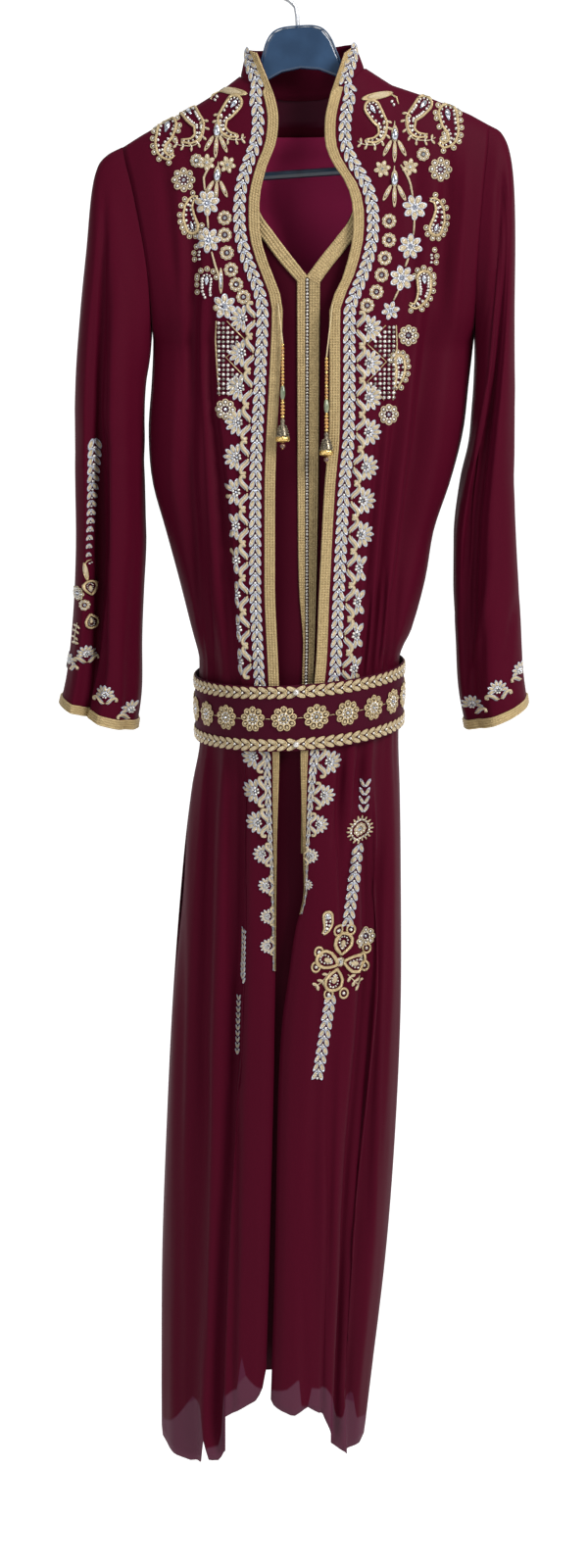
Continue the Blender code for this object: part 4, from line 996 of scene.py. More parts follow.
def cloth(node, grid, finish, slot, closed=False, lined=None):
    """A thin cloth piece on a grid whose columns run to the right seen from outside."""
    rows, columns = len(grid), len(grid[0])
    last = columns if closed else columns - 1
    faces = []
    for r in range(rows - 1):
        for c in range(last):
            a, b = r * columns + c, r * columns + (c + 1) % columns
            faces.append((a, a + columns, b + columns, b))
    obj = link_piece(node + "_cloth", [p for row in grid for p in row], faces, [finish])
    if lined:
        mark = obj.data.attributes.new("lined", "FLOAT", "POINT")
        mark.data.foreach_set("value", [lined(p) for row in grid for p in row])
    wall = obj.modifiers.new("cloth_wall", "SOLIDIFY")
    wall.thickness = CLOTH_THICKNESS
    wall.offset = -1
    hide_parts(node)
    return obj


CREASE_DEPTH = 2.0
# Creases fade out between twice this distance and this distance from the opening
CREASE_INSET = 20


def crease_rise(x, z, creases):
    """Sum of soft troughs and ridges: each row is top x z, bottom x z, width, rise."""
    total = 0.0
    for x0, z0, x1, z1, width, rise in creases:
        down = (z0 - z) / (z0 - z1)
        if -0.2 < down < 1.2:
            ends = min(1.0, (down + 0.2) / 0.4, (1.2 - down) / 0.4)
            ends = ends * ends * (3 - 2 * ends)
            away = (x - lerp(x0, x1, down)) / width
            if abs(away) < 3:
                total += CREASE_DEPTH * rise * ends * math.exp(-away * away)
    return total


def ripple(point, across, along, seed):
    """Smooth uneven waves that run down the cloth, from -1 to 1."""
    place = Vector((point.x / MM / across + seed, point.y / MM / across, point.z / MM / along))
    return noise.noise(place)


def body_ripple(point):
    """Small waves of the robe's body: finer gathers near the belt, broad ones down the skirt."""
    z = point.z / MM
    near_belt = max(0.0, 1 - abs(z - BELT_MIDDLE) / 150)
    skirt = clamp((-780 - z) / 250)
    rise = 1.1 * near_belt * ripple(point, 7, 220, 3.1)
    rise += (0.5 + 1.3 * skirt) * ripple(point, 19, 330, 7.7)
    rise += 0.35 * ripple(point, 9, 70, 1.3)
    seam = min(1.0, abs(point.y) / (14 * MM))
    return rise * seam


# Creases of the robe's fronts: top x z, bottom x z, width, rise
RIGHT_CREASES = [
    (-48, -780, -51, -950, 4.0, -2.6), (-51, -950, -58, -1110, 6.0, -3.4),
    (-58, -1110, -66, -1490, 4.5, -2.8),
    (-25, -1000, -30, -1480, 4.0, 1.2), (-118, -900, -128, -1500, 6.0, -2.0),
    (-100, -190, -96, -330, 7, -1.6), (-128, -185, -118, -300, 6, -1.4), (-112, -200, -108, -400, 4, 1.0),
    (-92, -420, -84, -680, 3.5, -1.5), (-101, -480, -92, -690, 3, -1.3), (-73, -560, -62, -690, 2.5, -1.0),
    (-64, -770, -66, -1000, 3.5, -1.6), (-86, -770, -98, -1150, 4, -1.5), (-92, -1100, -98, -1450, 4.5, -1.6),
    (-36, -1150, -44, -1480, 4, -1.2), (-52, -1250, -60, -1490, 4, 1.2),
]
LEFT_CREASES = [
    (90, -880, 78, -1090, 3.5, -2.8), (78, -1090, 62, -1300, 4.0, -3.0), (62, -1300, 58, -1500, 4.0, -2.4),
    (120, -185, 116, -330, 7, -1.3), (150, -190, 146, -330, 6, -1.7), (168, -200, 160, -340, 4, 1.2),
    (76, -610, 70, -690, 2.2, -1.6), (84, -600, 78, -690, 2.0, -1.5), (92, -590, 86, -690, 2.2, -1.7),
    (99, -600, 93, -690, 2.0, -1.3), (106, -580, 100, -690, 2.2, -1.2), (66, -560, 60, -690, 2.5, -1.0),
    (50, -765, 40, -870, 3.5, -2.2), (70, -765, 55, -900, 4, -2.4), (84, -770, 80, -960, 2.8, -1.6),
    (28, -980, 18, -1280, 6, -1.4), (2, -1240, 14, -1500, 6, -1.6), (30, -1200, 36, -1500, 5, 1.5),
    (94, -960, 86, -1280, 3.5, 2.0), (78, -1050, 66, -1350, 3, -1.6), (48, -1100, 40, -1420, 4, 1.3),
]
# Lower edge of the lining at the front: x, height
LINING_FRONT = [
    (-156, -1540), (-145, -1544), (-127, -1521), (-111, -1495), (-102, -1500), (-98, -1545), (-80, -1545),
    (-76, -1478), (-61, -1466), (-56, -1426), (-51, -1452), (-40, -1464), (-28, -1472), (-7, -1467),
    (6, -1455), (9, -1490), (16, -1490), (19, -1468), (36, -1473), (42, -1484), (46, -1518), (54, -1520),
    (58, -1500), (65, -1494), (70, -1530), (80, -1536),
]
LINING_BACK_Z = -1505.0
YOKE_Z = -152.0
YOKE_SHARE = 0.6
LINING_EDGE = 3.0


def lined_front(point):
    edge = straight_between(LINING_FRONT, point.x / MM)
    return (point.z / MM - edge) / LINING_EDGE + 0.5


def lined_back(point):
    """Lined between the sheer yoke above the under-dress and the sheer hem."""
    yoke = max(YOKE_SHARE, (YOKE_Z - point.z / MM) / LINING_EDGE + 0.5)
    return min((point.z / MM - LINING_BACK_Z) / LINING_EDGE + 0.5, yoke)


def robe_front(side, label):
    """One front of the robe: its shell and the grid that the trims follow."""
    grid = panel_grid(lambda z: front_columns(side, z), FRONT_TOP, 1, FRONT)
    if side == RIGHT:
        grid = [row[::-1] for row in grid]
    creases = RIGHT_CREASES if side == RIGHT else LEFT_CREASES

    def rise(point):
        x, z = point.x / MM, point.z / MM
        from_edge = clamp(((x - opening_x(side, z)) * side - CREASE_INSET) / CREASE_INSET)
        return (body_ripple(point) + crease_rise(x, z, creases)) * from_edge
    grid = moved_out(grid, rise)
    return cloth("robe_front_" + label, grid, ROBE_CLOTH, "robe_georgette", lined=lined_front), grid


def robe_back_cloth():
    grid = [row[::-1] for row in panel_grid(back_columns, BACK_TOP, 2, BACK)]
    grid = moved_out(grid, body_ripple)
    return cloth("robe_back", grid, ROBE_CLOTH, "robe_georgette", lined=lined_back)


# Creases on the front of the sleeves: top x z, bottom x z, width, rise
SLEEVE_MIDDLE_Y = 8.0
SLEEVE_CREASES = {
    RIGHT: [(-186, -230, -191, -450, 4.5, -2.2), (-191, -450, -195, -600, 6.0, -3.6),
            (-195, -600, -197, -700, 6.0, -3.0)],
    LEFT: [(205, -190, 193, -420, 5.0, -2.2), (193, -420, 170, -610, 5.5, -3.0),
           (203, -560, 184, -700, 3.0, 1.6), (228, -620, 214, -690, 3.0, -1.4)],
}
# How far a sewn edge runs on under the piece it is sewn to, and how deep
TUCK = 4.0
TUCK_DEPTH = 1.6


def sleeve_cloth(side, label):
    grid = sleeve_grid(side)
    top = grid[0][0].z

    def rise(point):
        z = point.z / MM
        down = clamp((top / MM - z) / 60)
        elbow = max(0.0, 1 - abs(z + 470) / 90)
        waves = 0.9 * ripple(point, 16, 150, 5.2 + side) + 1.1 * elbow * ripple(point, 30, 26, 9.4 + side)
        low = clamp((-560 - z) / 120)
        front = clamp((SLEEVE_MIDDLE_Y - point.y / MM) / 6)
        creases = crease_rise(point.x / MM, z, SLEEVE_CREASES[side]) * front
        return down * (waves + 0.8 * low * ripple(point, 11, 120, 2.2) + creases)
    grid = moved_out(grid, rise, closed=True)
    seam = [p + (p - q).normalized() * (TUCK * MM) - n * (TUCK_DEPTH * MM)
            for p, q, n in zip(grid[0], grid[1], grid_normals(grid, True)[0])]
    return cloth("sleeve_" + label, [seam] + grid, SLEEVE_CLOTH, "robe_georgette", closed=True), grid


# Below this height the under-dress is this share as long as its solid
UNDER_TAPER = -1100.0
UNDER_SHARE = 0.88


def under_cloth(face, label):
    grid = under_grid(face)
    if face == BACK:
        grid = [row[::-1] for row in grid]

    def rise(point):
        low = clamp((-300 - point.z / MM) / 150) * min(1.0, abs(point.y) / (14 * MM))
        return 0.8 * low * ripple(point, 17, 300, 4.4)
    grid = moved_out(grid, rise)
    for row in grid:
        for point in row:
            if point.z < UNDER_TAPER * MM:
                point.z = (UNDER_TAPER + (point.z / MM - UNDER_TAPER) * UNDER_SHARE) * MM
    # The back gets the brighter copy of the satin, whose colour is painted light seen through the neck.
    finish = LIT_INNER_CLOTH if face == BACK else LINING_CLOTH
    return cloth("under_dress_" + label, grid, finish, "under_dress_cloth")


# Bands that follow the cloth

class Strip:
    """A band of a cloth's grid: share across it, millimetres down it, height above it."""

    def __init__(self, rows, gap=LAY_GAP):
        self.rows = rows
        self.normals = grid_normals(rows)
        self.gap = gap
        middle = len(rows[0]) // 2
        self.down = [0.0]
        for above, below in zip(rows, rows[1:]):
            self.down.append(self.down[-1] + (below[middle] - above[middle]).length / MM)
        self.length = self.down[-1]

    def at(self, across, down, height):
        down = max(0.0, min(self.length - 1e-6, down))
        low, high = 0, len(self.down) - 1
        while high - low > 1:
            half = (low + high) // 2
            if self.down[half] <= down:
                low = half
            else:
                high = half
        t = (down - self.down[low]) / (self.down[high] - self.down[low])
        place = clamp(across) * (len(self.rows[0]) - 1)
        column = min(int(place), len(self.rows[0]) - 2)
        s = place - column

        def mixed(grid):
            top = grid[low][column].lerp(grid[low][column + 1], s)
            return top.lerp(grid[high][column].lerp(grid[high][column + 1], s), t)
        return mixed(self.rows) + mixed(self.normals).normalized() * (self.gap + height * MM)

    def place_for(self, down, width, shift=0.0):
        """Square place of a motif whose middle is this far down the band, squeezed where the band narrows."""
        share = 0.5 + shift / width
        squeeze = min(1.0, (self.at(1, down, 0) - self.at(0, down, 0)).length / (width * MM) + 0.02)
        middle = self.at(share, down, 0.0)
        up = (self.at(share, down - 2.0, 0.0) - self.at(share, down + 2.0, 0.0)).normalized()
        out = (self.at(share, down, 1.0) - middle).normalized()
        right = up.cross(out).normalized()

        def place(u, v, height):
            return middle + (right * (u * squeeze) + up * v + out * height) * MM
        return place


STITCH_PITCH = 2.6
STITCH_ROWS = 4
BRAID_RIDGES = 4
RIDGE_COLUMNS = 4
KNIT_DEPTH, CUFF_KNIT_DEPTH = 0.7, 0.4


def knit(across, along, ridges, depth):
    """Height of a knitted braid: rounded ridges whose stitches lean both ways."""
    if across in (0.0, 1.0):
        return 0.0
    ridge = abs(math.sin(math.pi * ridges * across))
    lean = abs((across * ridges) % 1 - 0.5) * 2
    stitch = math.sin(2 * math.pi * (along + lean * 0.45))
    return 0.4 + 1.0 * ridge + depth * stitch * ridge


def braid_piece(name, points, columns, node, finish, flip=False):
    """Braid piece of rows of points, with columns from one point of a row to the last."""
    wide = columns + 1
    faces = []
    for a in range(len(points) - wide):
        if (a + 1) % wide:
            face = (a, a + wide, a + wide + 1, a + 1)
            faces.append((face[0], face[3], face[2], face[1]) if flip else face)
    obj = link_piece(name, points, faces, [finish])
    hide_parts(node)


def knitted_braid(node, strip, finish=BRAID_GOLD, ridges=BRAID_RIDGES):
    """Knitted braid on a strip."""
    columns = ridges * RIDGE_COLUMNS
    rows = int(strip.length / STITCH_PITCH * STITCH_ROWS)
    points = []
    for r in range(rows + 1):
        down = strip.length * r / rows
        for c in range(columns + 1):
            across = c / columns
            points.append(strip.at(across, down, knit(across, down / STITCH_PITCH, ridges, KNIT_DEPTH)))
    braid_piece(node + "_knit", points, columns, node, finish)


def lay_cuff(label, cuff):
    """Knitted braid round a sleeve's hem, with its stitches running round it."""
    start = cuff.length - BRAID_WIDTH
    around_hem = sum((b - a).length for a, b in zip(cuff.rows[-1], cuff.rows[-1][1:])) / MM
    count = int(around_hem / STITCH_PITCH * STITCH_ROWS)
    columns = BRAID_RIDGES * RIDGE_COLUMNS
    points = []
    for i in range(count + 1):
        for c in range(columns + 1):
            across = c / columns
            height = knit(across, i / STITCH_ROWS, BRAID_RIDGES, CUFF_KNIT_DEPTH)
            points.append(cuff.at(i / count, start + across * BRAID_WIDTH, height))
    node = "cuff_braid_" + label
    braid_piece(node + "_knit", points, columns, node, BRAID_GOLD, flip=True)


# Small elements of the embroidery, modelled once

def select_nothing():
    for obj in bpy.context.view_layer.objects:
        obj.select_set(False)


def pick_points(obj, chosen):
    """Select an object's points by their place, in edit mode."""
    bpy.ops.object.mode_set(mode="OBJECT")
    for vertex in obj.data.vertices:
        vertex.select = chosen(vertex.co)
    bpy.ops.object.mode_set(mode="EDIT")


def taken(obj):
    """Points and faces of a finished element, whose object is then removed."""
    bpy.ops.object.mode_set(mode="OBJECT")
    element = ([v.co.copy() for v in obj.data.vertices], [tuple(p.vertices) for p in obj.data.polygons])
    bpy.data.objects.remove(obj, do_unlink=True)
    return element


def start_edit():
    obj = bpy.context.object
    bpy.ops.object.mode_set(mode="EDIT")
    bpy.ops.mesh.select_mode(type="VERT")
    return obj


def cut_flat(level):
    """Cut away what lies below a level, in edit mode."""
    bpy.ops.mesh.select_all(action="SELECT")
    bpy.ops.mesh.bisect(plane_co=(0, 0, level), plane_no=(0, 0, 1), clear_inner=True)


def draw_point(obj, height):
    """Draw one end of a round shape out to a point."""
    pick_points(obj, lambda co: co.x < -0.35)
    bpy.ops.transform.resize(value=(1, 0.6, height))
    pick_points(obj, lambda co: co.x < -0.75)
    bpy.ops.transform.translate(value=(-0.15, 0, 0))


def bead_element():
    """Round bead, cut flat where it sits on the cloth."""
    select_nothing()
    bpy.ops.mesh.primitive_uv_sphere_add(segments=8, ring_count=5, radius=1)
    obj = start_edit()
    cut_flat(-0.3)
    return taken(obj)


def petal_element():
    """Padded petal: round at one end, drawn out to a point at the other."""
    select_nothing()
    bpy.ops.mesh.primitive_uv_sphere_add(segments=10, ring_count=6, radius=1)
    obj = start_edit()
    cut_flat(-0.2)
    draw_point(obj, 0.8)
    return taken(obj)


def rim_element():
    """Cord laid round a petal, pointed where the petal is."""
    select_nothing()
    bpy.ops.mesh.primitive_torus_add(major_segments=14, minor_segments=5, major_radius=1, minor_radius=0.25)
    obj = start_edit()
    draw_point(obj, 1)
    return taken(obj)


def ring_element():
    select_nothing()
    bpy.ops.mesh.primitive_torus_add(major_segments=12, minor_segments=5, major_radius=1, minor_radius=0.26)
    return taken(start_edit())


def gem_element():
    """Cut stone: eight slanted sides and a flat table."""
    select_nothing()
    bpy.ops.mesh.primitive_cone_add(vertices=8, radius1=1, radius2=0.5, depth=0.9)
    obj = start_edit()
    bpy.ops.mesh.select_mode(type="FACE")
    bpy.ops.mesh.select_all(action="DESELECT")
    bpy.ops.object.mode_set(mode="OBJECT")
    for face in obj.data.polygons:
        face.select = face.normal.z > 0.9
    bpy.ops.object.mode_set(mode="EDIT")
    bpy.ops.mesh.inset(thickness=0.12, depth=0.1)
    return taken(obj)


ELEMENTS = {"bead": bead_element(), "petal": petal_element(), "rim": rim_element(), "ring": ring_element(),
            "gem": gem_element()}


# How far elements stand off the cloth, as a share of their height
ELEMENT_LIFT = 0.25
CORD_SIDES = 6


class Embroidery:
    """Elements gathered into one piece."""

    def __init__(self):
        self.points, self.faces, self.picks, self.smooth = [], [], [], []

    def add(self, points, faces, finish, smooth=True, flip=False):
        if any(p is None for p in points):
            return
        base = len(self.points)
        self.points += points
        for face in faces:
            turned_face = tuple(base + i for i in face)
            self.faces.append(turned_face[::-1] if flip else turned_face)
        self.picks += [finish] * len(faces)
        self.smooth += [smooth] * len(faces)

    def lay(self, motif, place, mirror=False):
        """Lay a motif's parts on the cloth: place turns its millimetres into a point."""
        sign = -1 if mirror else 1
        for part in motif:
            if part[0] == "cord":
                _, finish, line, radius = part
                self.cord([(sign * u, v) for u, v in line], radius, finish, place)
                continue
            kind, finish, u, v, turn, length, width, height = part
            points, faces = ELEMENTS[kind]
            c, s = math.cos(math.radians(turn)), math.sin(math.radians(turn))
            laid = []
            for p in points:
                a, b = p.x * length, p.y * width
                up = p.z * height + ELEMENT_LIFT * height
                laid.append(place(sign * (u + a * c - b * s), v + a * s + b * c, up))
            self.add(laid, faces, finish, smooth=kind != "gem", flip=mirror)

    def cord(self, line, radius, finish, place):
        """Cord stitched down along a line, thinner at its ends if the radius is a pair."""
        middle, tip = radius if isinstance(radius, tuple) else (radius, radius * 0.7)
        sides = CORD_SIDES
        points = []
        for i, (u, v) in enumerate(line):
            before, after = line[max(i - 1, 0)], line[min(i + 1, len(line) - 1)]
            along = Vector((after[0] - before[0], after[1] - before[1]))
            along = along.normalized() if along.length else Vector((1, 0))
            share = i / (len(line) - 1)
            r = lerp(tip, middle, math.sin(math.pi * share) ** 0.5)
            for k in range(sides):
                turn = 2 * math.pi * k / sides
                side, up = r * math.cos(turn), r * (0.55 + math.sin(turn))
                points.append(place(u - along.y * side, v + along.x * side, up))
        faces = []
        for i in range(len(line) - 1):
            for k in range(sides):
                a, b = i * sides + k, i * sides + (k + 1) % sides
                faces.append((a, a + sides, b + sides, b))
        last = (len(line) - 1) * sides
        faces.append(tuple(range(sides)))
        faces.append(tuple(last + k for k in reversed(range(sides))))
        self.add(points, faces, finish)

    def piece(self, name, nodes=()):
        obj = link_piece(name, self.points, self.faces, EMBROIDERY, self.picks, self.smooth)
        for node in nodes:
            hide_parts(node)
        return obj


# Motifs, in millimetres round their middle

def around(radius, turn, u=0.0, v=0.0, lead=0.0):
    """Point at a distance and a turn in degrees from a middle; lead is a further turn in radians."""
    a = math.radians(turn) + lead
    return u + radius * math.cos(a), v + radius * math.sin(a)


def turns(count, first=0):
    """Turns in degrees that share out a full circle."""
    return [360 * i / count + first for i in range(count)]


def bead(u, v, r, finish=PEARL):
    return ("bead", finish, u, v, 0, r, r, r)


def gem(u, v, r, height):
    return ("gem", GEM, u, v, 0, r, r, height)


def petal(u, v, turn, length, width, outline=SILVER, filling=CREAM):
    return [("petal", filling, u, v, turn, length * 0.86, width * 0.8, 1.0),
            ("rim", outline, u, v, turn, length * 1.12, width * 1.16, 1.9)]


def curl(u, v, r):
    """Little ring of cord with a bead in it."""
    return [("ring", CREAM, u, v, 0, r, r, r * 0.8), bead(u, v, r * 0.6)]


def smooth_line(marks, steps=4):
    """A smooth line through a few marks."""
    rows = [(i, *mark) for i, mark in enumerate(marks)]
    columns = range(1, len(marks[0]) + 1)
    count = (len(marks) - 1) * steps
    return [tuple(smooth_between(rows, i / steps, k) for k in columns) for i in range(count + 1)]


def chain_unit(outline=SILVER):
    """One link of the chain: two padded petals that meet at its top, and a bead between them."""
    return (petal(-3.4, 0.2, -114, 4.2, 2.65, outline) + petal(3.4, 0.2, -66, 4.2, 2.65, outline)
            + [bead(0, -2.6, 1.5)])


def leaf_pair():
    """Two open leaves that meet at their tip."""
    return petal(-2.6, 0, -62, 3.6, 2.0) + petal(2.6, 0, -118, 3.6, 2.0) + [bead(0, -2.2, 1.1)]


def palmette():
    """Fan of petals round a cluster of stones, between two scrolls."""
    parts = []
    for i in range(7):
        turn = lerp(-96, 96, i / 6)
        parts += petal(*around(8.6, turn, 12.5), turn, 3.9, 2.7)
    parts += [bead(*around(3.2, turn, 12.0), 1.5) for turn in turns(6, 20)]
    parts.append(gem(12.0, 0, 2.0, 2.6))
    for side in (-1, 1):
        scroll = smooth_line([(0.8, side * 0.8), (2.2, side * 4.5), (6.2, side * 8.4), (8.0, side * 12.0),
                              (6.8, side * 15.4), (3.8, side * 15.8), (3.4, side * 13.4)], 3)
        parts += [("cord", CREAM, scroll, (1.7, 0.6)),
                  ("cord", SILVER, [(u + 1.7, v - side * 1.2) for u, v in scroll[2:-6]], 0.6),
                  ("cord", SILVER, [(u - 1.5, v + side * 1.3) for u, v in scroll[1:-7]], 0.6),
                  bead(5.0, side * 14.2, 1.1)]
    return parts


# Paisleys: pitch of the beads and curls along them, and how far in and out they lie
BEAD_STEP, BEAD_INSIDE = 2.5, 2.3
CURL_STEP, CURL_OUTSIDE, CURL_SIZE = 5.4, 3.2, 2.2


def comma(line, fringe=()):
    """Paisley: a rounded head and a curling tail, with beads inside and curls along one side.

    Each row of the line is u, v and half width. Fringe is 1, -1 or both, for the sides with curls.
    """
    path = smooth_line(line, 4)
    sides = {1: [], -1: []}
    for i, (u, v, half) in enumerate(path):
        before, after = path[max(i - 1, 0)], path[min(i + 1, len(path) - 1)]
        along = Vector((after[0] - before[0], after[1] - before[1])).normalized()
        for side in (1, -1):
            sides[side].append((u - side * along.y * half, v + side * along.x * half))
    head_u, head_v, head = path[0]
    ahead = Vector((path[1][0] - head_u, path[1][1] - head_v))
    facing = math.degrees(math.atan2(-ahead.y, -ahead.x))
    cap = [around(head, lerp(facing + 90, facing - 90, i / 8), head_u, head_v) for i in range(9)]
    if (Vector(cap[0]) - Vector(sides[1][0])).length < (Vector(cap[0]) - Vector(sides[-1][0])).length:
        cap = cap[::-1]
    parts = [("cord", GOLD, sides[-1][::-1] + cap + sides[1], (1.35, 0.8))]
    for side in (1, -1):
        carried = 0.0
        for (u, v, half), (u1, v1, _) in zip(path, path[1:]):
            length = math.hypot(u1 - u, v1 - v)
            carried += length
            if carried >= BEAD_STEP and half > 2.6:
                carried = 0.0
                du, dv = (u1 - u) / length, (v1 - v) / length
                inside = half - BEAD_INSIDE
                parts.append(bead(u - side * dv * inside, v + side * du * inside, 1.5))
            elif carried >= BEAD_STEP and side > 0 and half > 0.9:
                carried = 0.0
                parts.append(bead(u, v, 1.1))
    parts += [bead(*around(head - BEAD_INSIDE, facing - 80 + 40 * i, head_u, head_v), 1.15) for i in range(5)]
    lean = math.degrees(math.atan2(ahead.y, ahead.x))
    parts.append(("petal", GEM, head_u + ahead.x * 0.4, head_v + ahead.y * 0.4, lean + 180, head * 0.62,
                  head * 0.34, 1.8))
    for side in fringe:
        carried = CURL_STEP / 2
        for (u, v), (u1, v1) in zip(sides[side], sides[side][1:]):
            length = math.hypot(u1 - u, v1 - v)
            carried += length
            if carried >= CURL_STEP and length:
                carried = 0.0
                du, dv = (u1 - u) / length, (v1 - v) / length
                parts += curl(u - side * dv * CURL_OUTSIDE, v + side * du * CURL_OUTSIDE, CURL_SIZE)
    if fringe:
        for i in range(5):
            parts += curl(*around(head + CURL_OUTSIDE, facing - 76 + 38 * i, head_u, head_v), CURL_SIZE)
    return parts


def flower(petals, reach, length, outline=SILVER, inner_beads=0):
    """Flower of padded petals, each with a bead, round a stone and perhaps a ring of beads."""
    parts = []
    for turn in turns(petals, 12):
        parts += petal(*around(reach, turn), turn, length, length, outline)
        parts.append(bead(*around(reach + length * 0.25, turn), 1.15))
    parts += [bead(*around(3.9, turn), 1.4) for turn in turns(inner_beads)]
    return parts + [gem(0, 0, 2.2, 2.6)]


def round_rosette(radius=6.6):
    """Stone in a ring of beads, edged with cord."""
    edge = radius - 1.6
    parts = [("ring", GOLD, 0, 0, 0, edge, edge, 1.2), gem(0, 0, 2.4, 2.8)]
    for turn in turns(9):
        parts += curl(*around(edge, turn), 1.75)
    return parts


def bead_flower(reach=8.4):
    """Flower of little curls round a cluster of beads."""
    parts = []
    for turn in turns(8):
        parts += curl(*around(reach, turn), 2.7) + [bead(*around(4.3, turn, lead=0.4), 1.3)]
    return parts + [gem(0, 0, 2.4, 2.6)]


def teardrop():
    """Long stone with three outlined leaves under it."""
    parts = [("petal", GEM, 0, 0, -90, 5.6, 3.6, 3.0), ("rim", CREAM, 0, 0, -90, 6.6, 4.4, 1.3),
             ("cord", CREAM, [(0, 5), (-0.4, 9), (0, 13)], (0.8, 0.4))]
    leaves = ((0, -14.5, 90, 8.4, 2.8), (-6.6, -11.5, 62, 7.0, 2.9), (6.6, -11.5, 118, 7.0, 2.9))
    for u, v, turn, length, width in leaves:
        parts.append(("rim", CREAM, u, v, turn, length, width, 1.2))
        parts.append(("petal", CREAM, u, v, turn, length * 0.7, width * 0.6, 0.7))
        parts += [bead(*around(along, turn, u, v), 1.1) for along in (-2.2, 1.2)]
    return parts


def sprig(line, leaf=2.6):
    """Stem with small leaves to both sides."""
    path = smooth_line(line, 3)
    parts = [("cord", CREAM, path, 0.55)]
    for i in range(1, len(path) - 1, 2):
        (u0, v0), (u, v) = path[i - 1], path[i]
        stem_turn = math.degrees(math.atan2(v - v0, u - u0))
        for turn in (stem_turn - 62, stem_turn + 62):
            parts.append(("petal", CREAM, *around(2.8, turn, u, v), turn, leaf, leaf * 0.52, 1.0))
            parts.append(bead(*around(1.0, turn, u, v), 0.9))
    return parts


def big_leaf():
    """Long padded leaf with a cord round it."""
    return [("petal", CREAM, 0, 0, 14, 11.0, 3.6, 1.3), ("rim", GOLD, 0, 0, 14, 13.0, 4.8, 2.0),
            bead(12.5, -5.0, 1.5), bead(14.5, -8.0, 1.4),
            ("cord", GOLD, [(11, 2), (17, -1), (19, -7)], (1.0, 0.6))]


# Paisleys: u, v and half width from head to tail, and the sides with curls
COMMAS = {
    "inner_comma": ([(0, 0, 7.2), (5, -8, 6.4), (10, -16, 4.6), (9.5, -24.5, 3.2), (2.5, -30, 2.2),
                     (-6, -30.5, 1.0)], ()),
    "middle_comma": ([(0, 0, 7.6), (-6, -7, 6.6), (-13, -14.5, 4.8), (-13, -24, 3.2), (-6.5, -30, 2.2),
                      (3, -30.5, 1.0)], ()),
    "outer_comma": ([(0, 0, 8.8), (2, -9, 8.0), (5, -17.5, 5.4), (4, -26, 3.2), (-3.5, -30.5, 2.0),
                     (-9, -27.5, 1.0)], (1, -1)),
    "side_comma": ([(0, 0, 6.4), (3, 9, 5.8), (3.5, 18, 4.0), (-0.5, 26, 2.2), (-6.5, 27.5, 1.0)], (-1,)),
    "low_comma": ([(0, 0, 6.6), (0.5, -11, 6.0), (-3, -21, 4.2), (-9, -27, 2.2), (-14.5, -24.5, 1.0)], (1,)),
    "last_comma": ([(0, 0, 4.8), (1.5, -9, 4.6), (-0.5, -19, 3.2), (-4, -28, 1.0)], (1,)),
    "short_comma": ([(0, 6, 4.6), (0.5, -2, 4.2), (-1.5, -9, 2.6), (-5, -13, 1.0)], ()),
}
# Sprigs beside two of the paisleys
COMMA_SPRIGS = {
    "inner_comma": [(14, -9), (15, -18), (12, -28), (3, -34.5), (-8, -34), (-14, -31)],
    "middle_comma": [(-15, -6), (-18.5, -16), (-16, -28), (-8, -34.5), (4, -35), (11, -32)],
}

NET_PITCH = 4.5
# Edge of the bead net towards the opening: height below its top, distance in from its outer edge
NET_EDGE = [(0, 8), (18, 26), (35, 7), (54, 26), (72, 9)]


def bead_net():
    """Net of beads in two triangles, edged with fine cord."""
    parts = []
    drop = 2.0
    while drop < 71:
        reach = straight_between(NET_EDGE, drop)
        count = int((reach - 1.5) / NET_PITCH)
        for i in range(count + 1):
            parts.append(bead(-1.6 - i * NET_PITCH, -drop, 1.75, PEARL if (i + int(drop)) % 3 else SMOKE))
        drop += NET_PITCH
    line = [(-reach - 1.6, -drop) for drop, reach in NET_EDGE]
    for a, b in zip(line, line[1:]):
        parts.append(("cord", GOLD, with_middle(a, b), 0.6))
    parts.append(("cord", GOLD, [(0.8, 0), (1.6, -18), (0.6, -36), (-0.4, -54), (-2.0, -72)], 0.7))
    return parts


def with_middle(a, b):
    """Two marks with the one half way between them."""
    return [a, ((a[0] + b[0]) / 2, (a[1] + b[1]) / 2), b]


def sun_rosette():
    """Round medallion with short rays."""
    parts = round_rosette(6.2)
    for turn in turns(18):
        parts.append(("petal", CREAM, *around(11.4, turn), turn, 3.0, 1.0, 1.0))
        parts.append(bead(*around(9.6, turn, lead=0.17), 1.25))
    return parts


# Outline of a pointed loop of cord
LOOP = [(-11.5, 0), (-7, 4.4), (0, 8.6), (6.5, 8.4), (10.6, 4.6), (11.6, 0), (10.6, -4.6), (6.5, -8.4),
        (0, -8.6), (-7, -4.4), (-11.5, 0)]


def drop_loop(u, v, turn):
    """Pointed loop of thick cord with beads and a stone inside."""
    c, s = math.cos(math.radians(turn)), math.sin(math.radians(turn))

    def turned(x, y):
        return u + (x * c - y * s), v + (x * s + y * c)
    parts = [("cord", GOLD, [turned(x, y) for x, y in smooth_line(LOOP, 2)], (1.7, 1.5)),
             ("petal", CREAM, u, v, turn, 4.4, 2.9, 1.8)]
    for bead_turn in turns(12):
        b = math.radians(bead_turn)
        x, y = 1.5 + 6.6 * math.cos(b), 5.6 * math.sin(b) * (0.72 + 0.28 * math.cos(b))
        parts.append(bead(*turned(x, y), 1.1))
    return parts


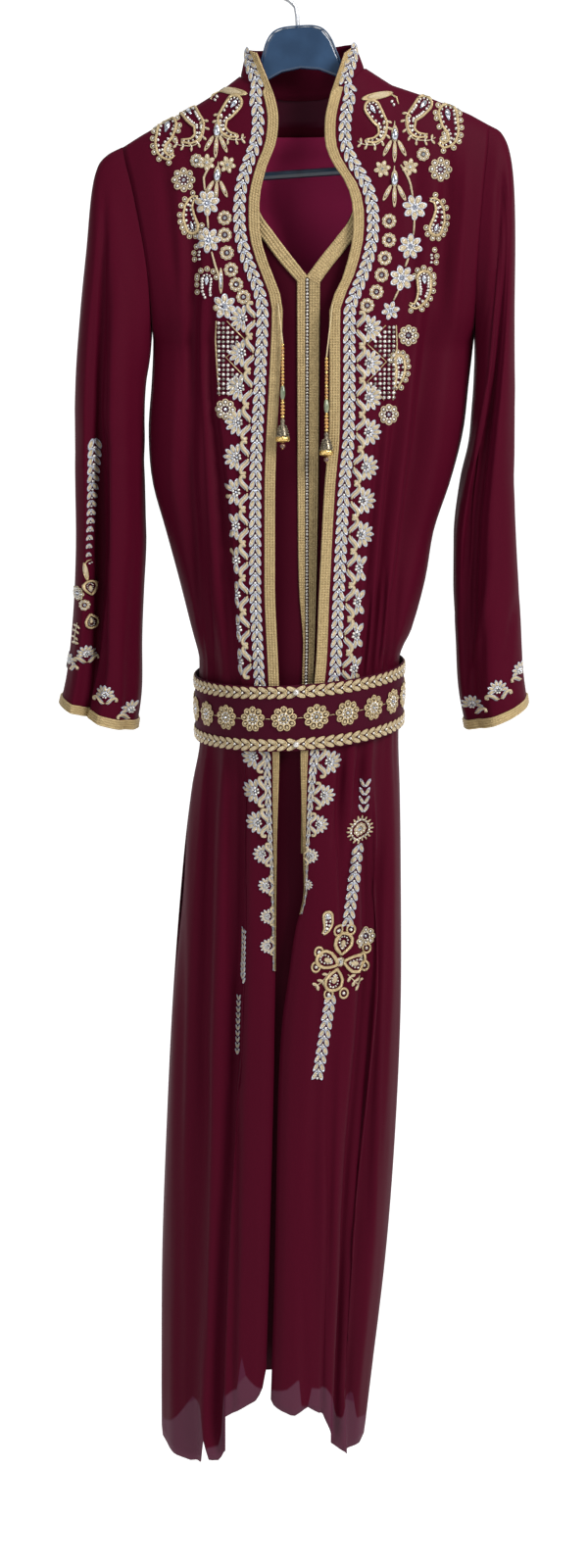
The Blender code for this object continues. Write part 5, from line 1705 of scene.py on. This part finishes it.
def medallion():
    """Four pointed loops round a stone, with ring curls and sprigs."""
    parts = []
    for u, v, turn in ((3, 19, 80), (-13, 4, 150), (15, -3, -15), (-6, -18, -100)):
        parts += drop_loop(u, v, turn)
    parts += round_rosette(4.6)
    for u, v in ((-2, 35), (11, 34), (-22, 14), (-25, -2), (28, 7), (26, -12), (-12, -33), (4, -34)):
        parts += [("ring", GOLD, u, v, 0, 4.2, 5.2, 2.4), bead(u, v, 1.8)]
    parts += sprig([(-10, -8), (-18, -18), (-26, -24)], 3.4)
    parts += sprig([(8, -14), (15, -22), (21, -30)], 3.4)
    return parts


# Where the motifs lie on the front: x, height

SHOULDER = [
    # motif, place on the wearer's left, place on the wearer's right, turn on the left, turn on the right
    ("inner_comma", (76, -139), (-57, -134), 0, 6),
    ("middle_comma", (127, -134), (-103, -139), 0, 6),
    ("outer_comma", (150, -143), (-123, -154), 0, 4),
    ("big_leaf", (83, -127), (-62, -122), -2, -2),
    ("teardrop", (98, -164), (-74, -160), 0, 4),
    ("teardrop", (98, -206), (-74, -202), 0, 4),
    ("bead_rosette", (126, -182), (-94, -188), 0, 0),
    ("small_flower", (86, -196), (-64, -192), 0, 0),
    ("small_flower", (113, -194), (-84, -190), 10, 20),
    ("bead_flower", (143, -196), (-107, -206), 0, 0),
    ("large_flower", (118, -232), (-84, -228), 0, 0),
    ("large_flower", (114, -269), (-83, -263), 25, 10),
    ("large_flower", (106, -299), (-68, -326), 40, 30),
    ("half_flower", (95, -330), None, 0, 0),
    ("leaf_column", None, (-71, -300), 0, 0),
    ("rosette", (93, -245), (-67, -242), 0, 0),
    ("rosette", (93, -263), (-67, -258), 0, 0),
    ("rosette", (89, -280), (-65, -275), 0, 0),
    ("rosette", (86, -296), (-61, -291), 0, 0),
    ("rosette", (81, -312), (-56, -305), 0, 0),
    ("rosette", (72, -325), (-49, -317), 0, 0),
    ("side_comma", (139, -252), (-99, -250), 0, 0),
    ("small_fringe", (135, -280), (-92, -277), 0, 0),
    ("low_comma", (128, -299), (-85, -300), 0, 0),
    ("last_comma", (104, -378), None, 0, 0),
    ("bead_flower_small", (113, -354), None, 0, 0),
    ("net", (100, -344), (-75, -340), 0, 0),
    ("bead_flower_small", (94, -430), (-67, -425), 0, 0),
]
STEMS = {
    LEFT: [[(118, -242), (117, -258)], [(112, -280), (109, -288)], [(103, -310), (98, -320)],
           [(104, -192), (112, -206), (116, -222)]],
    RIGHT: [[(-84, -238), (-83, -252)], [(-80, -274), (-76, -288), (-72, -300)],
            [(-80, -192), (-87, -204), (-86, -216)]],
}
# Palmettes along the chain: height of the first, step, how many
PALMETTES = {LEFT: (-347, -33.1, 11), RIGHT: (-338, -33.4, 11)}
# Palmettes below the belt: x, height, size
LOW_PALMETTES = {
    LEFT: [(24, -772, 0.95), (20, -806, 0.85), (16, -836, 0.75), (10, -869, 0.6), (8, -900, 0.45)],
    RIGHT: [(-28, -768, 0.95), (-27, -803, 0.95), (-25, -835, 0.9), (-22, -868, 0.75), (-19.5, -901, 0.65),
            (-19, -934, 0.6), (-19, -966, 0.6)],
}
# Motifs of the left skirt, and lines of chain links down it
SKIRT_MOTIFS = [
    ("leaf_pair", (73, -800)), ("leaf_pair", (72.5, -809)), ("leaf_pair", (72, -818)),
    ("leaf_pair", (71.5, -827)), ("sun_rosette", (68, -848)), ("medallion", (48, -986)),
    ("short_comma", (35, -940)), ("bead_flower_small", (75, -966)),
]
SKIRT_CHAINS = [((66, -869), (56, -945)), ((38, -1026), (25, -1108))]
CHAIN_PITCH = 9.3
# Slivers of embroidery that show in the fold of the right skirt: ends, leaf pairs in each, their size
SLIVERS = [((-51, -955), (-52, -1006)), ((-57, -1030), (-59, -1090))]
SLIVER_COUNT, SLIVER_WIDTH, SLIVER_LENGTH = 10, 0.45, 0.8

MOTIFS = {
    "big_leaf": big_leaf(), "teardrop": teardrop(), "bead_rosette": round_rosette(6.0),
    "small_flower": flower(6, 5.04, 2.64, CREAM), "bead_flower": bead_flower(),
    "bead_flower_small": bead_flower(7.0), "large_flower": flower(7, 7.74, 3.92, inner_beads=7),
    "half_flower": flower(6, 5.76, 2.88), "rosette": round_rosette(), "net": bead_net(),
    "sun_rosette": sun_rosette(), "medallion": medallion(), "leaf_pair": leaf_pair(), "chain": chain_unit(),
    "belt_chain": chain_unit(GOLD), "palmette": palmette(),
    "small_fringe": (curl(3, 8, 2.2) + curl(5.5, 2, 2.2) + curl(5, -4, 2.2)
                     + [bead(0, 3, 1.3), bead(0.5, 0, 1.3), bead(0, -4, 1.3)]),
    "leaf_column": petal(0, 0, 90, 9.0, 2.4, CREAM, GEM) + [bead(0, 4, 1.2), bead(0, -4, 1.2)],
    "drop": drop_loop(0, 0, 0), "sprig_tail": sprig([(0, 10), (-2, 0), (-4, -12), (-2, -18)], 3.0),
}
for comma_name, (comma_line, comma_fringe) in COMMAS.items():
    MOTIFS[comma_name] = comma(comma_line, comma_fringe)
for comma_name, stem in COMMA_SPRIGS.items():
    MOTIFS[comma_name] += sprig(stem)


def on_cloth(tree, x, z, turn=0.0, limit=None):
    """Place of a motif's millimetres on the front of the cloth, round x and z."""
    c, s = math.cos(math.radians(turn)), math.sin(math.radians(turn))

    def place(u, v, height):
        px, pz = x + u * c - v * s, z + u * s + v * c
        if limit and limit(px, pz):
            return None
        for lower in range(0, 16, 2):
            hit, normal, _, _ = tree.ray_cast(Vector((px * MM, -1, (pz - lower) * MM)), Vector((0, 1, 0)))
            if hit:
                return hit + normal * ((height + 0.1) * MM)
        return None
    return place


def cloth_tree(obj):
    """Search tree of the outer faces of a cloth piece."""
    points = [v.co.copy() for v in obj.data.vertices]
    return BVHTree.FromPolygons(points, [tuple(p.vertices) for p in obj.data.polygons])


def resized(place, across, along):
    """The same place for a motif that is laid wider or longer."""
    return lambda u, v, height: place(u * across, v * along, height)


def chain_on(strip, embroidery):
    """Links of the chain, one after the other down a strip."""
    count = int(strip.length / CHAIN_PITCH)
    for i in range(count):
        place = strip.place_for((i + 0.5) * strip.length / count, CHAIN_WIDTH)
        embroidery.lay(MOTIFS["chain"], place)


# Share of the trim's width that shows below the belt, where the edges turn in: height, share
TRIM_SHARE = {
    RIGHT: [(-300, 1.0), (-690, 1.0), (-745, 0.74), (-768, 0.66), (-803, 0.55), (-835, 0.42), (-868, 0.3),
            (-901, 0.22), (-1000, 0.1), (-1100, 0.1)],
    LEFT: [(-300, 1.0), (-690, 1.0), (-745, 0.8), (-773, 0.66), (-806, 0.48), (-836, 0.34), (-870, 0.2),
           (-930, 0.1), (-1100, 0.1)],
}


# Height at which each front's trim ends
TRIM_END = {RIGHT: -980, LEFT: -920}


def off_edge(row, start, width, count=TRIM_COLUMNS):
    """Points along a row, from a distance off its first point."""
    walked = [0.0]
    for a, b in zip(row, row[1:]):
        walked.append(walked[-1] + (b - a).length / MM)
    points = []
    for i in range(count):
        want = start + width * i / (count - 1)
        k = 0
        while walked[k + 1] < want:
            k += 1
        points.append(row[k].lerp(row[k + 1], (want - walked[k]) / (walked[k + 1] - walked[k])))
    return points


def front_trims(side, label, grid, collar):
    """Braid and chain along one front edge, from the collar to below the belt."""
    level_rows = SHOULDER_FINE * (len(SHOULDER_STEPS) - 1)
    last = level_rows + LEVEL_FINE * LEVELS.index(TRIM_END[side]) + 2

    def turned(row):
        return row[::-1] if side == RIGHT else row
    from_edge = [turned(row) for row in grid[:last]]
    braid_rows = [row[:TRIM_COLUMNS] for row in from_edge]
    chain_rows = [row[TRIM_COLUMNS:2 * TRIM_COLUMNS] for row in from_edge]
    for r in range(level_rows, last):
        share = smooth_between(TRIM_SHARE[side], grid[r][0].z / MM, 1)
        if share < 1:
            braid_rows[r] = off_edge(from_edge[r], 0, BRAID_WIDTH * share)
            chain_rows[r] = off_edge(from_edge[r], CHAIN_INSET * share, CHAIN_WIDTH * share)
    neck_rows = [turned(row[::-1]) for row in collar[:-1]]
    braid_rows = [off_edge(row, 0, BRAID_WIDTH) for row in neck_rows] + braid_rows
    chain_rows = [off_edge(row, CHAIN_INSET, CHAIN_WIDTH) for row in neck_rows] + chain_rows[CHAIN_FIRST_ROW:]
    knitted_braid("robe_braid_" + label, Strip([turned(row) for row in braid_rows]))
    links = Embroidery()
    chain_on(Strip([turned(row) for row in chain_rows]), links)
    links.piece("robe_chain_" + label + "_links", ["robe_chain_" + label])


# Fold that ends the embroidery on each side: below which height, its line, how far past it
WORK_LIMIT = {RIGHT: (-320, RIGHT_FOLDS[0][1], 5), LEFT: (-560, LEFT_FOLDS[0][1], 4)}


def front_embroidery(side, label, tree):
    """Shoulder motifs, palmettes along the chain and the motifs below the belt."""
    work = Embroidery()
    mirror = side == RIGHT
    limit_top, limit_fold, past = WORK_LIMIT[side]

    def hidden(x, z):
        return z < limit_top and (x - (fold_value(limit_fold, z) + side * past)) * side > 0
    for name, left, right, left_turn, right_turn in SHOULDER:
        spot, turn = (right, -right_turn) if mirror else (left, left_turn)
        if spot:
            work.lay(MOTIFS[name], on_cloth(tree, *spot, turn, hidden), mirror)
    for line in STEMS[side]:
        marks = smooth_line(line, 3) if len(line) > 2 else with_middle(*line)
        work.cord(marks, 1.1, CREAM, on_cloth(tree, 0, 0))
    top, pitch, count = PALMETTES[side]
    for z in [top + pitch * i for i in range(count)]:
        edge = opening_x(side, z) + side * (CHAIN_INSET + CHAIN_WIDTH)
        turn = math.degrees(math.atan2(opening_x(side, z - 8) - opening_x(side, z + 8), 16))
        work.lay(MOTIFS["palmette"], on_cloth(tree, edge, z, turn, hidden), mirror)
    for x, z, size in LOW_PALMETTES[side]:
        work.lay(MOTIFS["palmette"], resized(on_cloth(tree, x, z), size, size), mirror)
    if side == LEFT:
        for name, spot in SKIRT_MOTIFS:
            work.lay(MOTIFS[name], on_cloth(tree, *spot))
        for (x0, z0), (x1, z1) in SKIRT_CHAINS:
            count = round(math.hypot(x1 - x0, z1 - z0) / CHAIN_PITCH)
            turn = math.degrees(math.atan2(x1 - x0, z0 - z1))
            for i in range(count + 1):
                t = i / count
                work.lay(MOTIFS["chain"], on_cloth(tree, lerp(x0, x1, t), lerp(z0, z1, t), turn))
    else:
        for (x0, z0), (x1, z1) in SLIVERS:
            for i in range(SLIVER_COUNT):
                t = i / (SLIVER_COUNT - 1)
                place = on_cloth(tree, lerp(x0, x1, t), lerp(z0, z1, t))
                work.lay(MOTIFS["leaf_pair"], resized(place, SLIVER_WIDTH, SLIVER_LENGTH))
    work.piece("embroidery_" + label)


# Motifs of the sleeves: name, place, turn, size
CUFF_MOTIFS = {
    RIGHT: [("palmette", (-212, -683), 92, 0.72), ("palmette", (-231, -692), 96, 0.66),
            ("palmette", (-193, -723), 88, 0.74), ("palmette", (-169, -743), 84, 0.78),
            ("drop", (-207, -606), 96, 0.62), ("drop", (-207, -640), -84, 0.62),
            ("rosette", (-213, -623), 0, 0.8),
            ("bead_flower_small", (-220, -612), 0, 0.7), ("sprig_tail", (-221, -650), 0, 0.8),
            ("big_leaf", (-211, -588), 84, 0.6)],
    LEFT: [("palmette", (187, -737), 104, 0.78), ("palmette", (211, -718), 104, 0.8),
           ("palmette", (235, -701), 104, 0.74)],
}
# Chain down the right sleeve: its ends, links, and the size of the first and last
SLEEVE_CHAIN = [(-200, -462), (-208, -572)]
SLEEVE_LINKS, LINK_SIZES, LINK_TURN = 14, (1.05, 0.4), 3


def cuff_embroidery(side, label, tree):
    """Motifs on the front of a sleeve, above its cuff."""
    motifs = list(CUFF_MOTIFS[side])
    if side == RIGHT:
        (x0, z0), (x1, z1) = SLEEVE_CHAIN
        for i in range(SLEEVE_LINKS):
            t = i / (SLEEVE_LINKS - 1)
            motifs.append(("chain", (lerp(x0, x1, t), lerp(z0, z1, t)), LINK_TURN, lerp(*LINK_SIZES, t)))
    work = Embroidery()
    for name, spot, turn, size in motifs:
        work.lay(MOTIFS[name], resized(on_cloth(tree, *spot, turn), size, size))
    work.piece("sleeve_embroidery_" + label)


# How far the V neck's braids run on past their solids, to meet in the middle
NECK_BRAID_END = 4.5
NECK_BRAID_STEPS = 40


def band_row(x0, z0, x1, z1, gap):
    """Three points across a band that lies on the under-dress's front."""
    row = []
    for share in (0, 0.5, 1):
        point = body_point(lerp(x0, x1, share), lerp(z0, z1, share), FRONT, 1.0)
        point.y -= gap
        row.append(point * MM)
    return row


def neck_strip(side):
    """Band of the V neck's braid, from the shoulder side down to the middle."""
    rows = [(i,) + values for i, values in enumerate(NECK_BRAID[side])]
    grid = []
    for i in range(NECK_BRAID_STEPS + 1):
        place = i * (len(rows) - 1) / NECK_BRAID_STEPS
        grid.append(band_row(*(smooth_between(rows, place, k) for k in (1, 2, 3, 4)), NECK_BRAID_GAP))
    grid.append([p + (p - q).normalized() * (NECK_BRAID_END * MM) for p, q in zip(grid[-1], grid[-2])])
    return Strip([row[::-1] for row in grid] if side == RIGHT else grid)


# How far the under-dress's trims run on up behind the point of the V
UNDER_TRIM_RISE = 5.0


def under_strip(offsets):
    """Band down the under-dress between two offsets from its centre line."""
    grid = []
    for z in [UNDER_TRIM_LEVELS[0] + UNDER_TRIM_RISE] + finer(UNDER_TRIM_LEVELS, 8):
        middle = smooth_between(UNDER_CENTRE, z, 1)
        low, high = offsets(z)
        grid.append(band_row(middle + low, z, middle + high, z, UNDER_TRIM_GAP))
    return Strip(grid)


STONE_PITCH = 3.3


def under_trims():
    """Braids of the under-dress and the row of stones down its middle."""
    knitted_braid("neck_braid_right", neck_strip(RIGHT))
    knitted_braid("neck_braid_left", neck_strip(LEFT))
    right_band = under_strip(lambda z: (smooth_between(UNDER_CENTRE, z, 2), -UNDER_BRAID_START[0]))
    left_band = under_strip(lambda z: (UNDER_BRAID_START[1], smooth_between(UNDER_CENTRE, z, 3)))
    knitted_braid("centre_braid_right", right_band, ridges=3)
    knitted_braid("centre_braid_left", left_band, BRAID_DULL)
    stones = under_strip(lambda z: (CRYSTAL_MIDDLE - CRYSTAL_HALF_WIDTH, CRYSTAL_MIDDLE + CRYSTAL_HALF_WIDTH))
    row = Embroidery()
    count = int(stones.length / STONE_PITCH)
    for i in range(count):
        place = stones.place_for(stones.length * (i + 0.5) / count, 2 * CRYSTAL_HALF_WIDTH)
        row.lay([bead(0, 0, 1.5), gem(0, 0, 1.0, 2.6)], place)
    row.piece("crystal_row_stones", ["crystal_row"])


# Belt

BELT_ROSETTES = 21
BELT_LINKS = 70
# Share of the way round the belt at which its front bead lies
BELT_FRONT = 0.745


def belt_rosette():
    """Nine rings with a petal each, round beads and a stone."""
    parts = []
    for turn in turns(9, 10):
        parts += [("ring", GOLD, *around(9.0, turn), turn, 3.3, 2.9, 2.6),
                  ("petal", CREAM, *around(9.4, turn), turn, 1.8, 1.6, 1.6),
                  bead(*around(5.0, turn, lead=0.35), 1.45)]
    return parts + [("ring", GOLD, 0, 0, 0, 3.0, 3.0, 1.6), gem(0, 0, 2.3, 3.0)]


def belt_band():
    """Embroidered belt: band, two chains that meet at a bead in front, and rosettes."""
    half = BELT_HALF_HEIGHT
    grid = belt_grid(-half, half, 10, BELT_GAP + BELT_WALL / MM)
    obj = cloth("belt_band", grid, BELT_CLOTH, "belt_cloth", closed=True)
    ring = [row + [row[0]] for row in grid]
    outer = Strip(ring)
    perimeter = sum((b - a).length for a, b in zip(ring[5], ring[5][1:])) / MM

    def belt_place(along, rise, turn=0.0):
        c, s = math.cos(math.radians(turn)), math.sin(math.radians(turn))

        def place(u, v, height):
            across, up = u * c - v * s, u * s + v * c
            share = (BELT_FRONT + (along + across) / perimeter) % 1.0
            return outer.at(share, half - rise - up, height)
        return place
    edge_rise = half - BELT_EDGE_TRIM / 2
    pitch = perimeter / BELT_LINKS
    for name, rise in (("top", edge_rise), ("bottom", -edge_rise)):
        links = Embroidery()
        for i in range(BELT_LINKS):
            along = (i + 0.5) * pitch - perimeter / 2
            links.lay(MOTIFS["belt_chain"], belt_place(along, rise, 90 if along > 0 else -90))
        links.lay([bead(0, 0, 3.4)], belt_place(0, rise))
        links.piece("belt_chain_" + name, ["belt_edge_" + name])
    roses = Embroidery()
    rose = belt_rosette()
    rose_pitch = perimeter / BELT_ROSETTES
    for i in range(BELT_ROSETTES):
        along = i * perimeter / BELT_ROSETTES - perimeter / 2 + 4
        roses.lay(rose, belt_place(along, 0))
        roses.lay([("cord", GOLD, [(-3, 0), (0, 0.3), (3, 0)], 0.4)], belt_place(along + rose_pitch / 2, 0))
    roses.piece("belt_rosettes")
    return obj


# Tassels

AMBER = speckled("amber_glass", (0.62, 0.34, 0.08), (0.30, 0.12, 0.02), 160.0, 0.08, 0.0, 1.0, 0.05)
GREEN = speckled("green_glass", (0.30, 0.33, 0.20), (0.10, 0.13, 0.08), 160.0, 0.1, 0.0, 1.0, 0.3)
BROWN = speckled("brown_glass", (0.22, 0.10, 0.07), (0.08, 0.03, 0.02), 160.0, 0.06, 0.0, 1.0, 0.05)
OLD_BRASS = speckled("darkened_brass",
                     (0.34, 0.29, 0.20), (0.07, 0.06, 0.05), 700.0, 0.35, 0.85, bump_depth=0.5)
BRIGHT_BRASS = speckled("bright_brass",
                        (0.86, 0.62, 0.24), (0.62, 0.40, 0.12), 420.0, 0.2, 0.9, bump_depth=0.3)
TIE_GOLD = thread_finish("gold_tie", (0.80, 0.66, 0.40), (0.42, 0.30, 0.13), 0.45, 0.25, 3000.0, 0.6)


def ball(radius, squash=1.0, sides=12):
    """Points and faces of a bead, modelled from a sphere."""
    select_nothing()
    bpy.ops.mesh.primitive_uv_sphere_add(segments=sides, ring_count=8, radius=radius)
    obj = start_edit()
    bpy.ops.mesh.select_all(action="SELECT")
    bpy.ops.transform.resize(value=(1, 1, squash))
    return taken(obj)


def moved(element, x, y, z):
    """An element's points moved, with its faces."""
    points, faces = element
    shift = Vector((x, y, z))
    return [p + shift for p in points], faces


class Turned:
    """Parts threaded on one line, gathered into one piece."""

    def __init__(self, frame_of):
        self.frame_of = frame_of
        self.points, self.faces, self.picks = [], [], []

    def add(self, element, finish):
        points, faces = element
        base = len(self.points)
        self.points += [self.frame_of @ (p * MM) for p in points]
        self.faces += [tuple(base + i for i in face) for face in faces]
        self.picks += [finish] * len(faces)


def lathe(outline, sides=20):
    """A turned shell from rows of drop and radius."""
    points, faces = [], []
    for drop, radius in outline:
        for k in range(sides):
            turn = 2 * math.pi * k / sides
            points.append(Vector((radius * math.cos(turn), radius * math.sin(turn), -drop)))
    for r in range(len(outline) - 1):
        for k in range(sides):
            a, b = r * sides + k, r * sides + (k + 1) % sides
            faces.append((a, a + sides, b + sides, b))
    faces.append(tuple(range(sides)))
    last = (len(outline) - 1) * sides
    faces.append(tuple(last + k for k in reversed(range(sides))))
    return points, faces


# Turned parts of the tassel and rings of knobs on its cone: drop, radius
TASSEL_CONE = [(0, 0.8), (0.2, 1.7), (2.8, 2.4), (3.4, 1.7), (5.0, 1.8), (6.0, 2.6), (8.5, 3.8), (12.0, 4.9),
               (16.0, 5.8), (18.4, 6.2), (18.6, 5.6)]
TASSEL_CAP = [(17.6, 5.4), (18.0, 6.4), (19.5, 6.9), (21.0, 6.4), (22.4, 4.6), (23.2, 2.4), (23.6, 1.2)]
TASSEL_KNOBS = [(7.6, 3.7), (9.8, 4.5), (12.2, 5.2), (14.8, 5.8), (17.2, 6.3)]
KNOBS = 9


def tassel_set(side, label):
    """Tie, threaded glass beads and metal tassel of one front edge."""
    (tie_x, tie_z), (bead_x, bead_z) = TASSELS[side]
    trim_face = (LAY_GAP * 2 + TRIM_WALL) / MM
    start = body_point(tie_x + side * TIE_INSET, tie_z, FRONT)
    start.y -= trim_face + TIE_RADIUS / MM
    head = body_point(bead_x, bead_z, FRONT)
    head.y -= trim_face + BEAD_CLEARANCE
    run = bead_outline()[-1][0] + THREAD_GAP
    foot = head + Vector((0, -math.sin(TASSEL_LEAN) * run, -math.cos(TASSEL_LEAN) * run))
    line = []
    for i in range(TIE_STEPS + 1):
        t = i / TIE_STEPS
        point = start.lerp(head + Vector((0, 0, THREAD_GAP)), t)
        point.y -= math.sin(math.pi * t) * TIE_SAG
        line.append(point)
    line += [head.lerp(foot, i / 12) for i in range(13)]
    length = sum((b - a).length for a, b in zip(line, line[1:]))
    curve = bpy.data.curves.new("tie_" + label + "_cord", "CURVE")
    curve.dimensions = "3D"
    spline = curve.splines.new("POLY")
    spline.points.add(len(line) - 1)
    for knot, point in zip(spline.points, line):
        knot.co = (*(point * MM), 1)
    curve.bevel_depth = TIE_RADIUS
    curve.bevel_resolution = 3
    curve.use_fill_caps = True
    curve.materials.append(TIE_GOLD)
    tie = bpy.data.objects.new("tie_" + label + "_cord", curve)
    bpy.context.scene.collection.objects.link(tie)
    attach(tie, "root")
    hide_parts("tie_" + label)

    tilt = Matrix.Rotation(-TASSEL_LEAN, 4, "X")
    beads = Turned(Matrix.Translation(head * MM) @ tilt)
    drop = 0.0
    for count, size, radius in BEAD_LENGTHS:
        squash = size * 0.46 / radius
        for i in range(count):
            middle = drop + size / 2
            if size > 10:
                beads.add(moved(ball(radius, squash, 8), 0, 0, -middle), 1)
                for end in (drop + 0.9, drop + size - 0.9):
                    beads.add(moved(ball(1.6, 0.5), 0, 0, -end), 2)
            else:
                beads.add(moved(ball(radius, squash), 0, 0, -middle), 0 if i % 4 else 2)
            drop += size
    string = link_piece("beads_" + label + "_glass", beads.points, beads.faces, [AMBER, GREEN, BRIGHT_BRASS],
                        beads.picks)
    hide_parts("beads_" + label)

    metal = Turned(Matrix.Translation(foot * MM) @ tilt)
    metal.add(lathe(TASSEL_CONE), 0)
    for level, radius in TASSEL_KNOBS:
        lead = 0.5 if int(level) % 2 else 0
        for i in range(KNOBS):
            turn = 2 * math.pi * (i + lead) / KNOBS
            metal.add(moved(ball(0.75, 1.2, 6), radius * math.cos(turn), radius * math.sin(turn), -level), 0)
    metal.add(lathe(TASSEL_CAP), 1)
    for turn in turns(8):
        metal.add(moved(ball(2.2, 1.25, 8), *around(5.0, turn), -19.8), 1)
    metal.add(moved(ball(2.7, 0.95), 0, 0, -26.4), 2)
    metal.add(moved(ball(0.9, 0.6), 0, 0, -29.1), 1)
    tassel = link_piece("tassel_" + label + "_metal", metal.points, metal.faces,
                        [OLD_BRASS, BRIGHT_BRASS, BROWN], metal.picks)
    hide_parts("tassel_" + label)


# Hanger

# Edge of the hanger's middle: x, height; and how far its rim lies in front
HANGER_RIM = [(-45, -110), (-40, -98), (-36, -87), (-31, -74), (-24, -65.5), (-14, -62), (0, -61.5),
              (14, -62), (24, -65.5), (31, -74), (36, -87), (40, -98), (45, -110)]
RIM_FRONT = 4.2


def hanger_looks():
    """Finishes of the hanger and the raised rim on the edge of its middle."""
    plastic = speckled("blue_hanger_plastic",
                       (0.026, 0.066, 0.140), (0.014, 0.040, 0.090), 30.0, 0.32, 0.0, 0.3)
    dark = speckled("bar_plastic", (0.020, 0.045, 0.075), (0.006, 0.014, 0.028), 30.0, 0.3, 0.0, coat=0.3)
    steel = speckled("hook_wire", (0.36, 0.37, 0.39), (0.22, 0.23, 0.25), 240.0, 0.3, 0.95)
    for node, finish in (("hanger_body", plastic), ("hanger_bar", dark), ("hanger_hook", steel)):
        NODES[node].data.materials.clear()
        NODES[node].data.materials.append(finish)
    tilt = Matrix.Rotation(-HANGER_TILT, 4, "Y")
    line = [tilt @ Vector((x, 0, z)) for x, z in smooth_line(HANGER_RIM, 4)]
    rim = Embroidery()

    def place(u, v, height):
        return Vector((u, -RIM_FRONT - height, v)) * MM
    rim.cord([(p.x, p.z) for p in line], (0.8, 0.6), 0, place)
    obj = link_piece("hanger_rim", rim.points, rim.faces, [plastic], rim.picks)


def main():
    camera()
    studio()
    tassel_set(RIGHT, "right")
    tassel_set(LEFT, "left")
    front_right, right_grid = robe_front(RIGHT, "right")
    front_left, left_grid = robe_front(LEFT, "left")
    back = robe_back_cloth()
    collar = collar_grid()
    turned_collar = [row[::-1] for row in collar]
    tucked = [p + (p - q).normalized() * (1.5 * TUCK * MM) - n * (TUCK_DEPTH * MM)
              for p, q, n in zip(turned_collar[-1], turned_collar[-2], grid_normals(turned_collar)[-1])]
    collar_shell = cloth("collar", turned_collar + [tucked], ROBE_CLOTH, "robe_georgette",
                         lined=lambda _: 1.0)
    under_front = under_cloth(FRONT, "front")
    under_back = under_cloth(BACK, "back")
    for side, label, shell, grid in ((RIGHT, "right", front_right, right_grid),
                                     (LEFT, "left", front_left, left_grid)):
        front_trims(side, label, grid, collar)
        front_embroidery(side, label, cloth_tree(shell))
        sleeve, sleeve_rows = sleeve_cloth(side, label)
        lay_cuff(label, Strip([row + [row[0]] for row in sleeve_rows[-12:]]))
        cuff_embroidery(side, label, cloth_tree(sleeve))
    under_trims()
    belt = belt_band()
    hanger_looks()
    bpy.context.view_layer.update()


main()
